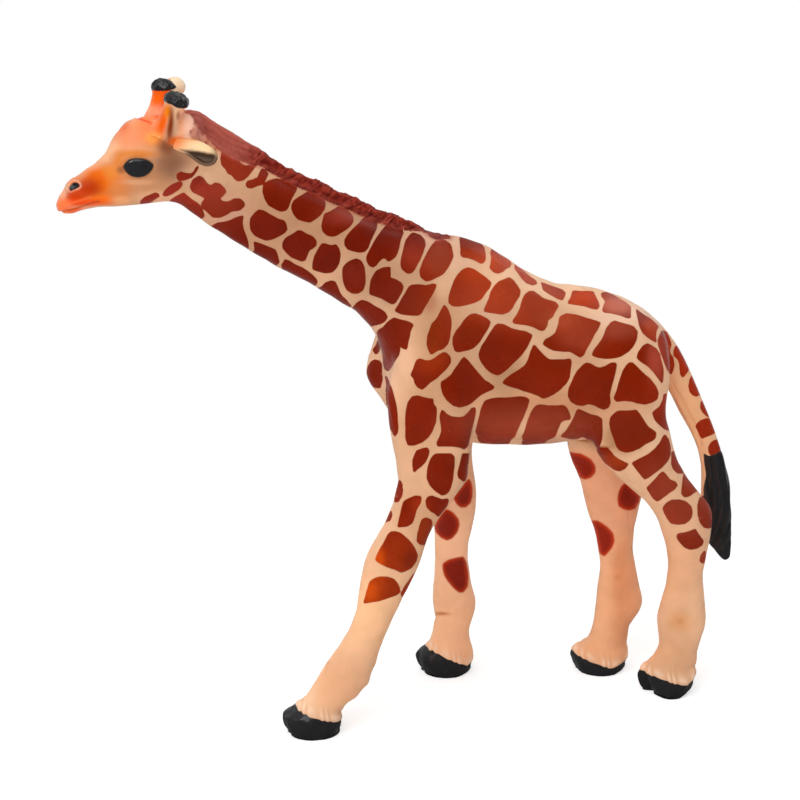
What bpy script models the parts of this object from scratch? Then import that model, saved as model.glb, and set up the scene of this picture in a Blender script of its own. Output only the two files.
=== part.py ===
"""Toy giraffe figure in rigid PVC, built from glued mouldings.

The figure faces -X and stands on Z = 0, and its left side is -Y. Each moulding is
a loft: a row of rounded sections run through by a smooth curve. The mouldings meet
at flat glue faces with an oval peg, or sit in a socket of their own shape.
All lengths are in metres.
"""

import math

import bpy
import numpy as np
from mathutils import Vector

# Fits
GLUE_CLEARANCE = 0.0003
CUT_OVERRUN = 0.001

# Stance
LEG_JOINT_HEIGHT = 0.0625
BELLY_RISE = 0.004
BELLY_HEIGHT = LEG_JOINT_HEIGHT + BELLY_RISE
BODY_LENGTH = 0.051
BODY_DEPTH = 0.050
BODY_WIDTH = 0.033
SHOULDER_RISE = 0.046
SHOULDER_DEPTH = 0.0215
SHOULDER_WIDTH = 0.0142
HAUNCH_RISE = 0.038
HAUNCH_DEPTH = 0.0225
HAUNCH_WIDTH = 0.0158

# Legs
FRONT_LEG_DEPTH = 0.014
FRONT_LEG_WIDTH = 0.0115
REAR_LEG_DEPTH = 0.0155
REAR_LEG_WIDTH = 0.011
FRONT_LEG_SPACING = 0.022
REAR_LEG_SPACING = 0.019
FRONT_HOOF_SPACING = 0.0325
REAR_HOOF_SPACING = 0.0191
REAR_HOOF_SWAY = 0.0014
HOOF_LENGTH = 0.0147
HOOF_WIDTH = 0.0120
HOOF_HEIGHT = 0.005
HOOF_CLEFT = 0.0011
LEG_PEG_DIAMETER = 0.005
LEG_PEG_LENGTH = 0.006

# Neck and mane
NECK_ANGLE = math.radians(31.5)
NECK_LENGTH = 0.052
NECK_DEPTH = 0.0236
NECK_WIDTH = 0.021
NECK_PEG_DEPTH = 0.011
NECK_PEG_WIDTH = 0.007
NECK_PEG_LENGTH = 0.006
MANE_THICKNESS = 0.0032
MANE_HEIGHT = 0.003
MANE_SEAT = 0.002

# Head
HEAD_LENGTH = 0.0342
HEAD_DEPTH = 0.0215
HEAD_WIDTH = 0.0165
OSSICONE_LENGTH = 0.0125
OSSICONE_DIAMETER = 0.0059
OSSICONE_ROOT = 0.0027
EAR_LENGTH = 0.0112
EAR_WIDTH = 0.0064
EAR_THICKNESS = 0.0021
EAR_CUP = 0.0012
EAR_ROOT = 0.002

# Tail
TAIL_LENGTH = 0.066
TAIL_THICKNESS = 0.0075
TAIL_WIDTH = 0.0084
TUFT_THICKNESS = 0.0085
TUFT_WIDTH = 0.0064

# Loft fineness
SMOOTH_STEPS = 2
BODY_SIDES = 20
LEG_SIDES = 14
SMALL_SIDES = 10
SHARP_ANGLE = math.radians(50.0)

# Colours, linear
CREAM = (0.83, 0.58, 0.37)
PEACH = (0.84, 0.53, 0.31)
ORANGE = (0.80, 0.26, 0.07)
MAROON = (0.17, 0.03, 0.02)
SLATE = (0.03, 0.03, 0.035)

# Roughness of the paints
MATT = 0.5
SATIN = 0.45
SEMI_GLOSS = 0.3

# Trunk outline, from rump to neck: top x, top height, lower x, lower height, half width.
# x is a share of BODY_LENGTH from the shoulder, height of BODY_DEPTH above the belly,
# and width of BODY_WIDTH.
TRUNK_SHARES = [
    (1.247, 0.52, 1.247, 0.24, 0.21),
    (1.218, 0.596, 1.218, 0.14, 0.33),
    (1.153, 0.664, 1.153, 0.06, 0.41),
    (1.045, 0.73, 1.045, 0.016, 0.464),
    (0.878, 0.796, 0.878, 0.006, 0.485),
    (0.692, 0.828, 0.692, 0.0, 0.497),
    (0.525, 0.912, 0.525, 0.0, 0.5),
    (0.369, 1.03, 0.369, 0.012, 0.49),
    (0.222, 1.094, 0.182, 0.04, 0.467),
    (0.124, 1.12, -0.014, 0.10, 0.43),
    (0.071, 1.13, -0.131, 0.24, 0.405),
    (0.023, 1.142, -0.168, 0.42, 0.38),
    (-0.027, 1.152, -0.204, 0.605, 0.355),
]
NECK_START_SHARES = (-0.205, 0.958)

# Neck outline: distance up the neck, throat and nape offsets, half width.
NECK_SHARES = [
    (0.0, -0.50, 0.50, 0.50),
    (0.12, -0.492, 0.437, 0.46),
    (0.27, -0.473, 0.41, 0.42),
    (0.45, -0.483, 0.385, 0.375),
    (0.63, -0.466, 0.352, 0.34),
    (0.81, -0.443, 0.375, 0.318),
    (1.0, -0.396, 0.41, 0.31),
]

# Mane outline: distance up the neck, nape offset below it, height above the nape.
MANE_SHARES = [
    (-0.12, 0.55, 0.25),
    (-0.04, 0.515, 0.80),
    (0.10, 0.446, 1.0),
    (0.27, 0.41, 1.0),
    (0.45, 0.385, 1.0),
    (0.63, 0.352, 0.95),
    (0.81, 0.375, 1.0),
    (0.95, 0.40, 0.90),
    (1.06, 0.415, 0.80),
    (1.12, 0.43, 0.85),
    (1.155, 0.44, 0.60),
]

# Head outline, from the nape to the lips: crown x and height, jaw x and height, half width.
HEAD_SHARES = [
    (-0.015, 0.49, 0.22, -0.342, 0.42),
    (0.146, 0.612, 0.307, -0.347, 0.46),
    (0.322, 0.64, 0.395, -0.356, 0.49),
    (0.471, 0.588, 0.488, -0.363, 0.485),
    (0.57, 0.449, 0.576, -0.37, 0.44),
    (0.664, 0.258, 0.664, -0.388, 0.375),
    (0.763, 0.119, 0.76, -0.407, 0.32),
    (0.863, -0.002, 0.857, -0.426, 0.297),
    (0.939, -0.123, 0.93, -0.421, 0.267),
    (0.98, -0.235, 0.977, -0.402, 0.20),
    (1.0, -0.30, 1.0, -0.36, 0.09),
]

# Limb outlines, from the joint down: height and lean as shares of LEG_JOINT_HEIGHT,
# then depth and width as shares of that leg's depth and width.
FRONT_LEFT_SHARES = [
    (1.0, 0.0, 1.26, 1.13),
    (0.91, -0.048, 1.04, 1.05),
    (0.82, -0.104, 0.92, 1.0),
    (0.74, -0.147, 0.98, 1.01),
    (0.66, -0.178, 1.02, 0.97),
    (0.58, -0.207, 0.90, 0.88),
    (0.49, -0.240, 0.75, 0.77),
    (0.40, -0.279, 0.71, 0.73),
    (0.31, -0.330, 0.83, 0.80),
    (0.23, -0.374, 0.96, 0.86),
    (0.165, -0.417, 0.97, 0.84),
    (0.125, -0.452, 0.97, 0.88),
]
FRONT_RIGHT_SHARES = [
    (1.0, 0.0, 1.0, 1.13),
    (0.91, 0.021, 0.88, 1.05),
    (0.82, 0.033, 0.91, 1.02),
    (0.74, 0.040, 0.86, 1.0),
    (0.66, 0.041, 0.72, 0.90),
    (0.58, 0.038, 0.63, 0.78),
    (0.49, 0.039, 0.64, 0.74),
    (0.40, 0.046, 0.71, 0.78),
    (0.32, 0.057, 0.80, 0.87),
    (0.25, 0.055, 0.73, 0.85),
    (0.19, 0.046, 0.69, 0.82),
    (0.125, 0.042, 0.79, 0.88),
]
REAR_LEFT_SHARES = [
    (1.0, 0.0, 1.25, 1.27),
    (0.91, 0.069, 1.10, 1.15),
    (0.83, 0.146, 1.01, 1.03),
    (0.77, 0.185, 1.0, 0.98),
    (0.70, 0.200, 0.86, 0.92),
    (0.62, 0.205, 0.72, 0.82),
    (0.52, 0.201, 0.60, 0.76),
    (0.44, 0.196, 0.66, 0.80),
    (0.36, 0.190, 0.79, 0.89),
    (0.31, 0.188, 0.85, 0.92),
    (0.25, 0.188, 0.77, 0.89),
    (0.19, 0.177, 0.69, 0.84),
    (0.125, 0.155, 0.83, 0.90),
]
REAR_RIGHT_SHARES = [
    (1.0, 0.0, 1.48, 1.27),
    (0.91, 0.010, 1.34, 1.15),
    (0.83, 0.021, 1.15, 1.06),
    (0.77, 0.021, 1.05, 1.0),
    (0.70, 0.022, 0.90, 0.94),
    (0.62, 0.027, 0.71, 0.83),
    (0.52, 0.036, 0.60, 0.76),
    (0.44, 0.046, 0.62, 0.79),
    (0.36, 0.051, 0.72, 0.87),
    (0.30, 0.054, 0.79, 0.92),
    (0.25, 0.046, 0.77, 0.90),
    (0.19, 0.023, 0.65, 0.84),
    (0.125, 0.005, 0.70, 0.88),
]

# Hoof outline, from its crown to its sole: height, length and width.
HOOF_SHARES = [
    (1.0, 0.95, 0.95),
    (0.55, 1.0, 1.0),
    (0.14, 0.98, 0.98),
    (0.0, 0.94, 0.94),
]

# Upper limb, from the joint up into the trunk: height, how much of the leg's own
# place is left, depth, width, and distance out.
SHOULDER_SHARES = [
    (0.16, 0.75, 0.91, 0.97, 0.94),
    (0.33, 0.40, 1.01, 1.01, 0.875),
    (0.48, 0.0, 1.01, 0.99, 0.835),
    (0.66, 0.0, 0.85, 0.87, 0.765),
    (0.86, 0.0, 0.60, 0.68, 0.675),
    (1.0, 0.0, 0.32, 0.35, 0.59),
]
HAUNCH_SHARES = [
    (0.16, 0.45, 0.92, 0.96, 0.99),
    (0.33, 0.0, 0.98, 1.01, 0.965),
    (0.50, 0.0, 0.99, 1.01, 0.925),
    (0.68, 0.0, 0.93, 0.94, 0.865),
    (0.86, 0.0, 0.71, 0.73, 0.76),
    (1.0, 0.0, 0.36, 0.38, 0.63),
]

# Tail: place along and down from the tail root as shares of TAIL_LENGTH, then
# thickness, width, and whether the row belongs to the tuft.
TAIL_SHARES = [
    (-0.03, 0.04, 0.80, 0.80, False),
    (0.035, -0.035, 1.0, 1.0, False),
    (0.107, -0.125, 0.98, 0.92, False),
    (0.163, -0.232, 0.96, 0.83, False),
    (0.213, -0.340, 0.92, 0.74, False),
    (0.259, -0.431, 0.82, 0.65, False),
    (0.296, -0.525, 0.78, 0.60, False),
    (0.315, -0.604, 0.78, 0.85, True),
    (0.327, -0.681, 0.94, 0.95, True),
    (0.335, -0.769, 1.0, 1.0, True),
    (0.341, -0.846, 0.93, 0.95, True),
    (0.353, -0.907, 0.76, 0.80, True),
    (0.368, -0.952, 0.50, 0.60, True),
    (0.385, -0.99, 0.20, 0.28, True),
]
TAIL_ROOT_SHARES = (1.130, 0.59)

# Ossicone: distance up the horn and radius.
OSSICONE_PEG_SHARE = 0.6
OSSICONE_SHARES = [
    (0.0, 1.20),
    (0.20, 1.12),
    (0.42, 1.0),
    (0.62, 0.95),
    (0.70, 1.07),
    (0.80, 1.14),
    (0.90, 1.0),
    (0.97, 0.60),
]
OSSICONE_PLACE_SHARES = (0.282, 0.32, 0.46)
OSSICONE_LEAN_SHARES = (0.33, 0.14, 0.94)

# Ear: distance along the leaf, width, thickness and cup.
EAR_SHARES = [
    (0.0, 0.38, 1.0, 0.0),
    (0.14, 0.66, 1.0, 0.4),
    (0.34, 0.94, 1.0, 1.0),
    (0.56, 1.0, 0.95, 1.0),
    (0.76, 0.84, 0.85, 0.8),
    (0.92, 0.50, 0.65, 0.3),
    (1.0, 0.16, 0.35, 0.0),
]
EAR_PLACE_SHARES = (0.14, 0.44, 0.325)
EAR_REACH_SHARES = (0.80, 0.54, -0.25)


def start_empty():
    """Remove every object that the scene opens with."""
    for item in list(bpy.data.objects):
        bpy.data.objects.remove(item, do_unlink=True)


def plastic(name, colour, roughness):
    """Moulded PVC with one coat of paint."""
    finish = bpy.data.materials.new(name)
    finish.use_nodes = True
    shader = finish.node_tree.nodes["Principled BSDF"]
    shader.inputs["Base Color"].default_value = (*colour, 1.0)
    shader.inputs["Roughness"].default_value = roughness
    return finish


def smooth_rows(rows, steps=SMOOTH_STEPS):
    """Rows on the smooth curve that runs through the given rows."""
    table = np.array(rows, dtype=float)
    before = 2.0 * table[0] - table[1]
    after = 2.0 * table[-1] - table[-2]
    table = np.vstack([before, table, after])
    result = []
    for index in range(1, len(table) - 2):
        start, end = table[index], table[index + 1]
        leave = (end - table[index - 1]) / 2.0
        arrive = (table[index + 2] - start) / 2.0
        for step in range(steps):
            t = step / steps
            result.append(
                start * (2.0 * t**3 - 3.0 * t**2 + 1.0)
                + leave * (t**3 - 2.0 * t**2 + t)
                + end * (3.0 * t**2 - 2.0 * t**3)
                + arrive * (t**3 - t**2)
            )
    result.append(table[-2])
    return result


class Section:
    """One rounded section: a centre and its two half axes, as vectors."""

    def __init__(self, centre, half_up, half_side, cleft=0.0, cup=Vector()):
        self.centre = centre
        self.half_up = half_up
        self.half_side = half_side
        self.cleft = cleft
        self.cup = cup

    def grown(self, clearance):
        """The same section with the clearance added all round."""
        up = self.half_up + self.half_up.normalized() * clearance
        side = self.half_side + self.half_side.normalized() * clearance
        return Section(self.centre, up, side, self.cleft, self.cup)

    def moved(self, offset):
        """The same section at another place."""
        return Section(self.centre + offset, self.half_up, self.half_side, self.cleft, self.cup)

    def points(self, sides):
        """The section's outline, counted from its upper point."""
        places = []
        for index in range(sides):
            angle = 2.0 * math.pi * index / sides
            up, side = math.cos(angle), math.sin(angle)
            place = self.centre + self.half_up * up + self.half_side * side
            if index == 0:
                place -= self.half_up.normalized() * self.cleft
            places.append(place + self.cup * (1.0 - abs(up)))
        return places


def upright(top, low, half_width, out=0.0):
    """A section across the figure between an upper and a lower outline point."""
    top_point = Vector((top[0], out, top[1]))
    low_point = Vector((low[0], out, low[1]))
    half_up = (top_point - low_point) / 2.0
    return Section((top_point + low_point) / 2.0, half_up, Vector((0.0, half_width, 0.0)))


def level(x, out, height, depth, width, cleft=0.0):
    """A level section of a leg, whose upper point is its front."""
    half_front = Vector((-depth / 2.0, 0.0, 0.0))
    return Section(Vector((x, out, height)), half_front, Vector((0.0, width / 2.0, 0.0)), cleft)


def loft(name, sections, sides, finish=None, grow=0.0):
    """A closed solid through the sections, with flat ends; grow makes a cutter."""
    if grow:
        first = (sections[0].centre - sections[1].centre).normalized() * grow
        last = (sections[-1].centre - sections[-2].centre).normalized() * grow
        sections = [item.grown(grow) for item in sections]
        sections[0] = sections[0].moved(first)
        sections[-1] = sections[-1].moved(last)
    points = []
    for item in sections:
        points.extend(item.points(sides))
    faces = [list(range(sides))]
    for row in range(len(sections) - 1):
        for side in range(sides):
            here = row * sides + side
            beside = row * sides + (side + 1) % sides
            faces.append([here, here + sides, beside + sides, beside])
    faces.append([(len(sections) - 1) * sides + side for side in reversed(range(sides))])
    mesh = bpy.data.meshes.new(name)
    mesh.from_pydata(points, [], faces)
    mesh.update()
    solid = bpy.data.objects.new(name, mesh)
    bpy.context.scene.collection.objects.link(solid)
    face_outwards(mesh)
    mesh.shade_smooth()
    mesh.set_sharp_from_angle(angle=SHARP_ANGLE)
    if finish:
        mesh.materials.append(finish)
    else:
        solid.hide_render = True
        solid.display_type = "WIRE"
    return solid


def face_outwards(mesh):
    """Turn the faces round where the solid came out inside out."""
    volume = 0.0
    for polygon in mesh.polygons:
        corners = [mesh.vertices[index].co for index in polygon.vertices]
        for second, third in zip(corners[1:-1], corners[2:]):
            volume += corners[0].dot(second.cross(third))
    if volume < 0.0:
        mesh.flip_normals()


def combine(solid, tool, operation):
    """Join a tool to a solid, or cut it out."""
    modifier = solid.modifiers.new(tool.name, "BOOLEAN")
    modifier.operation = operation
    modifier.solver = "EXACT"
    modifier.object = tool


def oval_peg(base, reach, half_up, half_side):
    """Two sections of a peg that stands on a glue face, base first."""
    root = Section(base, half_up, half_side)
    return [root, root.moved(reach)]


def socket(name, peg):
    """The cutter for a peg's socket, open past the glue face."""
    outward = (peg[0].centre - peg[1].centre).normalized() * CUT_OVERRUN
    return loft(name, [peg[0].moved(outward), peg[1]], LEG_SIDES, grow=GLUE_CLEARANCE)


def trunk_point(along_share, height_share):
    """A point of the trunk's side outline."""
    return along_share * BODY_LENGTH, BELLY_HEIGHT + height_share * BODY_DEPTH


def neck_point(along_share, nape_offset):
    """A point of the neck's side outline, its offset measured square to the neck."""
    start_x, start_z = trunk_point(*NECK_START_SHARES)
    along = along_share * NECK_LENGTH
    x = start_x - math.cos(NECK_ANGLE) * along + math.sin(NECK_ANGLE) * nape_offset
    z = start_z + math.sin(NECK_ANGLE) * along + math.cos(NECK_ANGLE) * nape_offset
    return x, z


def neck_sections():
    """The neck from the withers to the nape."""
    sections = []
    for along, throat, nape, width in smooth_rows(NECK_SHARES):
        top = neck_point(along, nape * NECK_DEPTH)
        low = neck_point(along, throat * NECK_DEPTH)
        sections.append(upright(top, low, width * NECK_WIDTH))
    return sections


def neck_direction():
    """The way that the neck rises."""
    return Vector((-math.cos(NECK_ANGLE), 0.0, math.sin(NECK_ANGLE)))


def neck_peg(face, reach):
    """An oval peg in the middle of a glue face of the neck."""
    half_up = face.half_up.normalized() * NECK_PEG_DEPTH / 2.0
    half_side = face.half_side.normalized() * NECK_PEG_WIDTH / 2.0
    return oval_peg(face.centre, reach, half_up, half_side)


def mane_sections():
    """The crest that stands in a groove along the nape."""
    sections = []
    for along, nape, rise in smooth_rows(MANE_SHARES):
        top = neck_point(along, nape * NECK_DEPTH + rise * MANE_HEIGHT)
        low = neck_point(along, nape * NECK_DEPTH - MANE_SEAT)
        sections.append(upright(top, low, MANE_THICKNESS / 2.0))
    return sections


def head_point(along_share, height_share):
    """A point of the head's side outline, measured from the middle of the nape face."""
    nape = neck_sections()[-1].centre
    return nape.x - along_share * HEAD_LENGTH, nape.z + height_share * HEAD_DEPTH


def head_sections():
    """The head from its glue face to the lips."""
    sections = [neck_sections()[-1]]
    rows = []
    for crown_x, crown_z, jaw_x, jaw_z, width in HEAD_SHARES:
        rows.append((*head_point(crown_x, crown_z), *head_point(jaw_x, jaw_z), width * HEAD_WIDTH))
    face = sections[0]
    top = face.centre + face.half_up
    low = face.centre - face.half_up
    rows.insert(0, (top.x, top.z, low.x, low.z, face.half_side.length))
    for top_x, top_z, low_x, low_z, half_width in smooth_rows(rows)[1:]:
        sections.append(upright((top_x, top_z), (low_x, low_z), half_width))
    return sections


def trunk_sections():
    """The trunk from the rump to the neck's glue face."""
    rows = []
    for top_x, top_z, low_x, low_z, width in TRUNK_SHARES:
        rows.append((*trunk_point(top_x, top_z), *trunk_point(low_x, low_z), width * BODY_WIDTH))
    face = neck_sections()[0]
    top = face.centre + face.half_up
    low = face.centre - face.half_up
    rows.append((top.x, top.z, low.x, low.z, face.half_side.length))
    sections = []
    for top_x, top_z, low_x, low_z, half_width in smooth_rows(rows):
        sections.append(upright((top_x, top_z), (low_x, low_z), half_width))
    return sections


class Leg:
    """One leg: its place, its outline, and the upper limb that carries it."""

    def __init__(self, name, side, root_share, root_lean, toe_share, shares, front):
        self.name = name
        self.side = side
        self.limb_x = root_share * BODY_LENGTH
        self.root_x = self.limb_x + root_lean * LEG_JOINT_HEIGHT
        self.toe_x = self.root_x + toe_share * LEG_JOINT_HEIGHT
        self.shares = shares
        self.depth = FRONT_LEG_DEPTH if front else REAR_LEG_DEPTH
        self.width = FRONT_LEG_WIDTH if front else REAR_LEG_WIDTH
        self.spacing = FRONT_LEG_SPACING if front else REAR_LEG_SPACING
        self.hoof_spacing = FRONT_HOOF_SPACING if front else REAR_HOOF_SPACING
        self.sway = 0.0 if front else REAR_HOOF_SWAY
        self.limb_rise = SHOULDER_RISE if front else HAUNCH_RISE
        self.limb_depth = SHOULDER_DEPTH if front else HAUNCH_DEPTH
        self.limb_width = SHOULDER_WIDTH if front else HAUNCH_WIDTH
        self.limb_shares = SHOULDER_SHARES if front else HAUNCH_SHARES

    def out(self, height):
        """How far out the leg's middle is at a height."""
        share = height / LEG_JOINT_HEIGHT
        spacing = self.hoof_spacing + (self.spacing - self.hoof_spacing) * share
        return self.side * spacing / 2.0 - self.sway * (1.0 - share)

    def joint_row(self):
        """The section where leg and trunk meet, as x, out, height, depth and width."""
        depth, width = self.shares[0][2] * self.depth, self.shares[0][3] * self.width
        return self.root_x, self.out(LEG_JOINT_HEIGHT), LEG_JOINT_HEIGHT, depth, width

    def upper_limb(self):
        """The shoulder or haunch, which is moulded with the trunk."""
        rows = [self.joint_row()]
        for height, own, depth, width, out in self.limb_shares:
            rows.append((
                self.limb_x + own * (self.root_x - self.limb_x),
                self.side * out * self.spacing / 2.0,
                LEG_JOINT_HEIGHT + height * self.limb_rise,
                depth * self.limb_depth,
                width * self.limb_width,
            ))
        return [level(*row) for row in smooth_rows(rows)]

    def peg(self):
        """The peg on top of the leg, base first."""
        x, out, height, _, _ = self.joint_row()
        base = Vector((x, out, height - GLUE_CLEARANCE))
        half = LEG_PEG_DIAMETER / 2.0
        half_front, half_side = Vector((-half, 0.0, 0.0)), Vector((0.0, half, 0.0))
        return oval_peg(base, Vector((0.0, 0.0, LEG_PEG_LENGTH)), half_front, half_side)

    def sections(self):
        """The leg from the end of its peg to the sole."""
        rows = []
        for height, lean, depth, width in self.shares:
            z = height * LEG_JOINT_HEIGHT
            x = self.root_x + lean * LEG_JOINT_HEIGHT
            rows.append((x, self.out(z), z, depth * self.depth, width * self.width, 0.0))
        for height, length, width in HOOF_SHARES:
            z = height * HOOF_HEIGHT
            rows.append((self.toe_x, self.out(z), z, length * HOOF_LENGTH, width * HOOF_WIDTH, HOOF_CLEFT))
        rows = smooth_rows(rows)
        rows[0][2] -= GLUE_CLEARANCE
        return list(reversed(self.peg())) + [level(*row) for row in rows]


LEGS = [
    Leg("front_left_leg", -1.0, 0.012, 0.006, -0.514, FRONT_LEFT_SHARES, True),
    Leg("front_right_leg", 1.0, -0.014, 0.168, 0.023, FRONT_RIGHT_SHARES, True),
    Leg("rear_left_leg", -1.0, 1.0, 0.074, 0.130, REAR_LEFT_SHARES, False),
    Leg("rear_right_leg", 1.0, 1.0, 0.034, -0.028, REAR_RIGHT_SHARES, False),
]


def tail_sections():
    """The tail and its tuft, from the root inside the rump to the tip."""
    root_x, root_z = trunk_point(*TAIL_ROOT_SHARES)
    rows = []
    for along, height, thickness, width, tuft in TAIL_SHARES:
        rows.append((
            root_x + along * TAIL_LENGTH,
            root_z + height * TAIL_LENGTH,
            thickness * (TUFT_THICKNESS if tuft else TAIL_THICKNESS),
            width * (TUFT_WIDTH if tuft else TAIL_WIDTH),
        ))
    rows = smooth_rows(rows)
    sections = []
    for index, (x, z, thickness, width) in enumerate(rows):
        ahead = rows[min(index + 1, len(rows) - 1)]
        behind = rows[max(index - 1, 0)]
        run = Vector((ahead[0] - behind[0], 0.0, ahead[1] - behind[1])).normalized()
        half_up = Vector((-run.z, 0.0, run.x)) * thickness / 2.0
        sections.append(Section(Vector((x, 0.0, z)), half_up, Vector((0.0, width / 2.0, 0.0))))
    return sections


def head_feature_frame(place_shares, way_shares, side):
    """Where a horn or an ear starts on the head, and the way that it points."""
    along, out, height = place_shares
    x, z = head_point(along, height)
    start = Vector((x, side * out * HEAD_WIDTH, z))
    way = Vector((way_shares[0], side * way_shares[1], way_shares[2])).normalized()
    return start, way


def ossicone_sections(side):
    """A horn with its rounded knob, from its root in the skull."""
    start, way = head_feature_frame(OSSICONE_PLACE_SHARES, OSSICONE_LEAN_SHARES, side)
    half_front = Vector((0.0, 1.0, 0.0)).cross(way).normalized() * OSSICONE_DIAMETER / 2.0
    half_side = way.cross(half_front).normalized() * OSSICONE_DIAMETER / 2.0
    sections = []
    peg = [(-OSSICONE_ROOT / OSSICONE_LENGTH, OSSICONE_PEG_SHARE), (0.0, OSSICONE_PEG_SHARE)]
    for along, radius in peg + [tuple(row) for row in smooth_rows(OSSICONE_SHARES)]:
        centre = start + way * along * OSSICONE_LENGTH
        sections.append(Section(centre, half_front * radius, half_side * radius))
    return sections


def ear_sections(side):
    """A cupped leaf with its root in the skull."""
    start, way = head_feature_frame(EAR_PLACE_SHARES, EAR_REACH_SHARES, side)
    across = (Vector((0.0, 0.0, 1.0)) - way * way.z).normalized()
    outward = way.cross(across).normalized()
    if outward.y * side < 0.0:
        outward = -outward
    rows = [(-EAR_ROOT / EAR_LENGTH, EAR_SHARES[0][1], EAR_SHARES[0][2], 0.0)]
    rows += [tuple(row) for row in smooth_rows(EAR_SHARES)]
    sections = []
    for along, width, thickness, cup in rows:
        sections.append(Section(
            start + way * along * EAR_LENGTH,
            across * width * EAR_WIDTH / 2.0,
            outward * thickness * EAR_THICKNESS / 2.0,
            cup=-outward * cup * EAR_CUP,
        ))
    return sections


def stand_at_origin():
    """Centre the figure over the origin, as its hooves, muzzle and tail reach."""
    shown = [item for item in bpy.data.objects if not item.hide_render]
    places = [item.matrix_world @ vertex.co for item in shown for vertex in item.data.vertices]
    lowest = Vector([min(place[axis] for place in places) for axis in range(3)])
    highest = Vector([max(place[axis] for place in places) for axis in range(3)])
    shift = Vector((-(lowest.x + highest.x) / 2.0, -(lowest.y + highest.y) / 2.0, 0.0))
    for item in bpy.data.objects:
        item.location += shift


def build():
    """Model every moulding and cut its sockets."""
    start_empty()
    coat = plastic("coat_paint", CREAM, SATIN)
    leg_coat = plastic("leg_paint", PEACH, MATT)
    face_paint = plastic("face_paint", ORANGE, SATIN)
    mane_paint = plastic("mane_paint", MAROON, MATT)
    tuft_paint = plastic("tail_paint", CREAM, SATIN)
    horn_paint = plastic("horn_paint", SLATE, SEMI_GLOSS)
    ear_paint = plastic("ear_paint", CREAM, MATT)

    torso = loft("torso", trunk_sections(), BODY_SIDES, coat)
    for leg in LEGS:
        combine(torso, loft(leg.name + "_limb", leg.upper_limb(), LEG_SIDES), "UNION")
        combine(torso, socket(leg.name + "_socket", leg.peg()), "DIFFERENCE")
        loft(leg.name, leg.sections(), LEG_SIDES, leg_coat)

    rise = neck_direction()
    neck_run = neck_sections()
    root_face = neck_run[0].moved(rise * GLUE_CLEARANCE)
    nape_face = neck_run[-1].moved(-rise * GLUE_CLEARANCE)
    root_peg = neck_peg(root_face, -rise * NECK_PEG_LENGTH)
    nape_peg = neck_peg(nape_face, rise * NECK_PEG_LENGTH)
    run = list(reversed(root_peg)) + [root_face] + neck_run[1:-1] + [nape_face] + nape_peg
    neck = loft("neck", run, BODY_SIDES, coat)
    combine(torso, socket("neck_root_socket", root_peg), "DIFFERENCE")

    head = loft("head", head_sections(), BODY_SIDES, face_paint)
    combine(head, socket("neck_nape_socket", nape_peg), "DIFFERENCE")

    mane_run = mane_sections()
    loft("mane", mane_run, SMALL_SIDES, mane_paint)
    groove = loft("mane_groove", mane_run, SMALL_SIDES, grow=GLUE_CLEARANCE)
    for carrier in (torso, neck, head):
        combine(carrier, groove, "DIFFERENCE")

    tail_run = tail_sections()
    loft("tail", tail_run, SMALL_SIDES, tuft_paint)
    combine(torso, loft("tail_socket", tail_run, SMALL_SIDES, grow=GLUE_CLEARANCE), "DIFFERENCE")

    for word, side in (("left", -1.0), ("right", 1.0)):
        for name, sections, finish in (
            (word + "_ossicone", ossicone_sections(side), horn_paint),
            (word + "_ear", ear_sections(side), ear_paint),
        ):
            loft(name, sections, SMALL_SIDES, finish)
            cutter = loft(name + "_socket", sections, SMALL_SIDES, grow=GLUE_CLEARANCE)
            combine(head, cutter, "DIFFERENCE")

    stand_at_origin()


build()
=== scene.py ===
"""The looks of a moulded giraffe figure: one skin cast over the frame's solids, carved, then painted."""
import math
import bmesh
import bpy
import numpy as np
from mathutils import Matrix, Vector
from mathutils.bvhtree import BVHTree


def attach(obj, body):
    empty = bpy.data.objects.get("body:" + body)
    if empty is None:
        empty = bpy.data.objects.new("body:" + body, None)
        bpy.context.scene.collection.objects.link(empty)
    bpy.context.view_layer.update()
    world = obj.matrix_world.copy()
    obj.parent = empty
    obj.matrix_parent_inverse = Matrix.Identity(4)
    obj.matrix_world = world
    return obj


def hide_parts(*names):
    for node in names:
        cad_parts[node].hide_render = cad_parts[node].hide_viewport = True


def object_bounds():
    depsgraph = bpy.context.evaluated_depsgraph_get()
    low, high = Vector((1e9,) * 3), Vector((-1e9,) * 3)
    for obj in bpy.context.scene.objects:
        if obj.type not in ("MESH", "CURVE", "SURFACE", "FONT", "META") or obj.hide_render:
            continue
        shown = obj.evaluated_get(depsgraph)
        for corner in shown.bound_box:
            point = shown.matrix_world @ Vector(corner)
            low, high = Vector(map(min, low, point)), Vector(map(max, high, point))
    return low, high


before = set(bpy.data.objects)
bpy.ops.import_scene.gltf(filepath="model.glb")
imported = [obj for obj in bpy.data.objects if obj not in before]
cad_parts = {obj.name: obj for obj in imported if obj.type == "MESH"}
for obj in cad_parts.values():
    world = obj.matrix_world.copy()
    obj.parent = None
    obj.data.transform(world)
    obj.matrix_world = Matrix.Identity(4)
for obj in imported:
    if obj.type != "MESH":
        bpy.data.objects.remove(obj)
cad_box = [list(corner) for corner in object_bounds()]
scene = bpy.context.scene


# ------------------------------------------------------------------------------ table and lamps
# The figure stands in a small light tent: a sweep of matt white card under it, a broad soft lamp
# overhead and one at the front left, with weak light from all round. The camera stands where the
# photograph's did.

def linear(code):
    """An sRGB hex value as the linear colour that Blender works in."""
    parts = [int(code[i:i + 2], 16) / 255 for i in (1, 3, 5)]
    return [*(p / 12.92 if p <= 0.04045 else ((p + 0.055) / 1.055) ** 2.4 for p in parts), 1.0]


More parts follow.
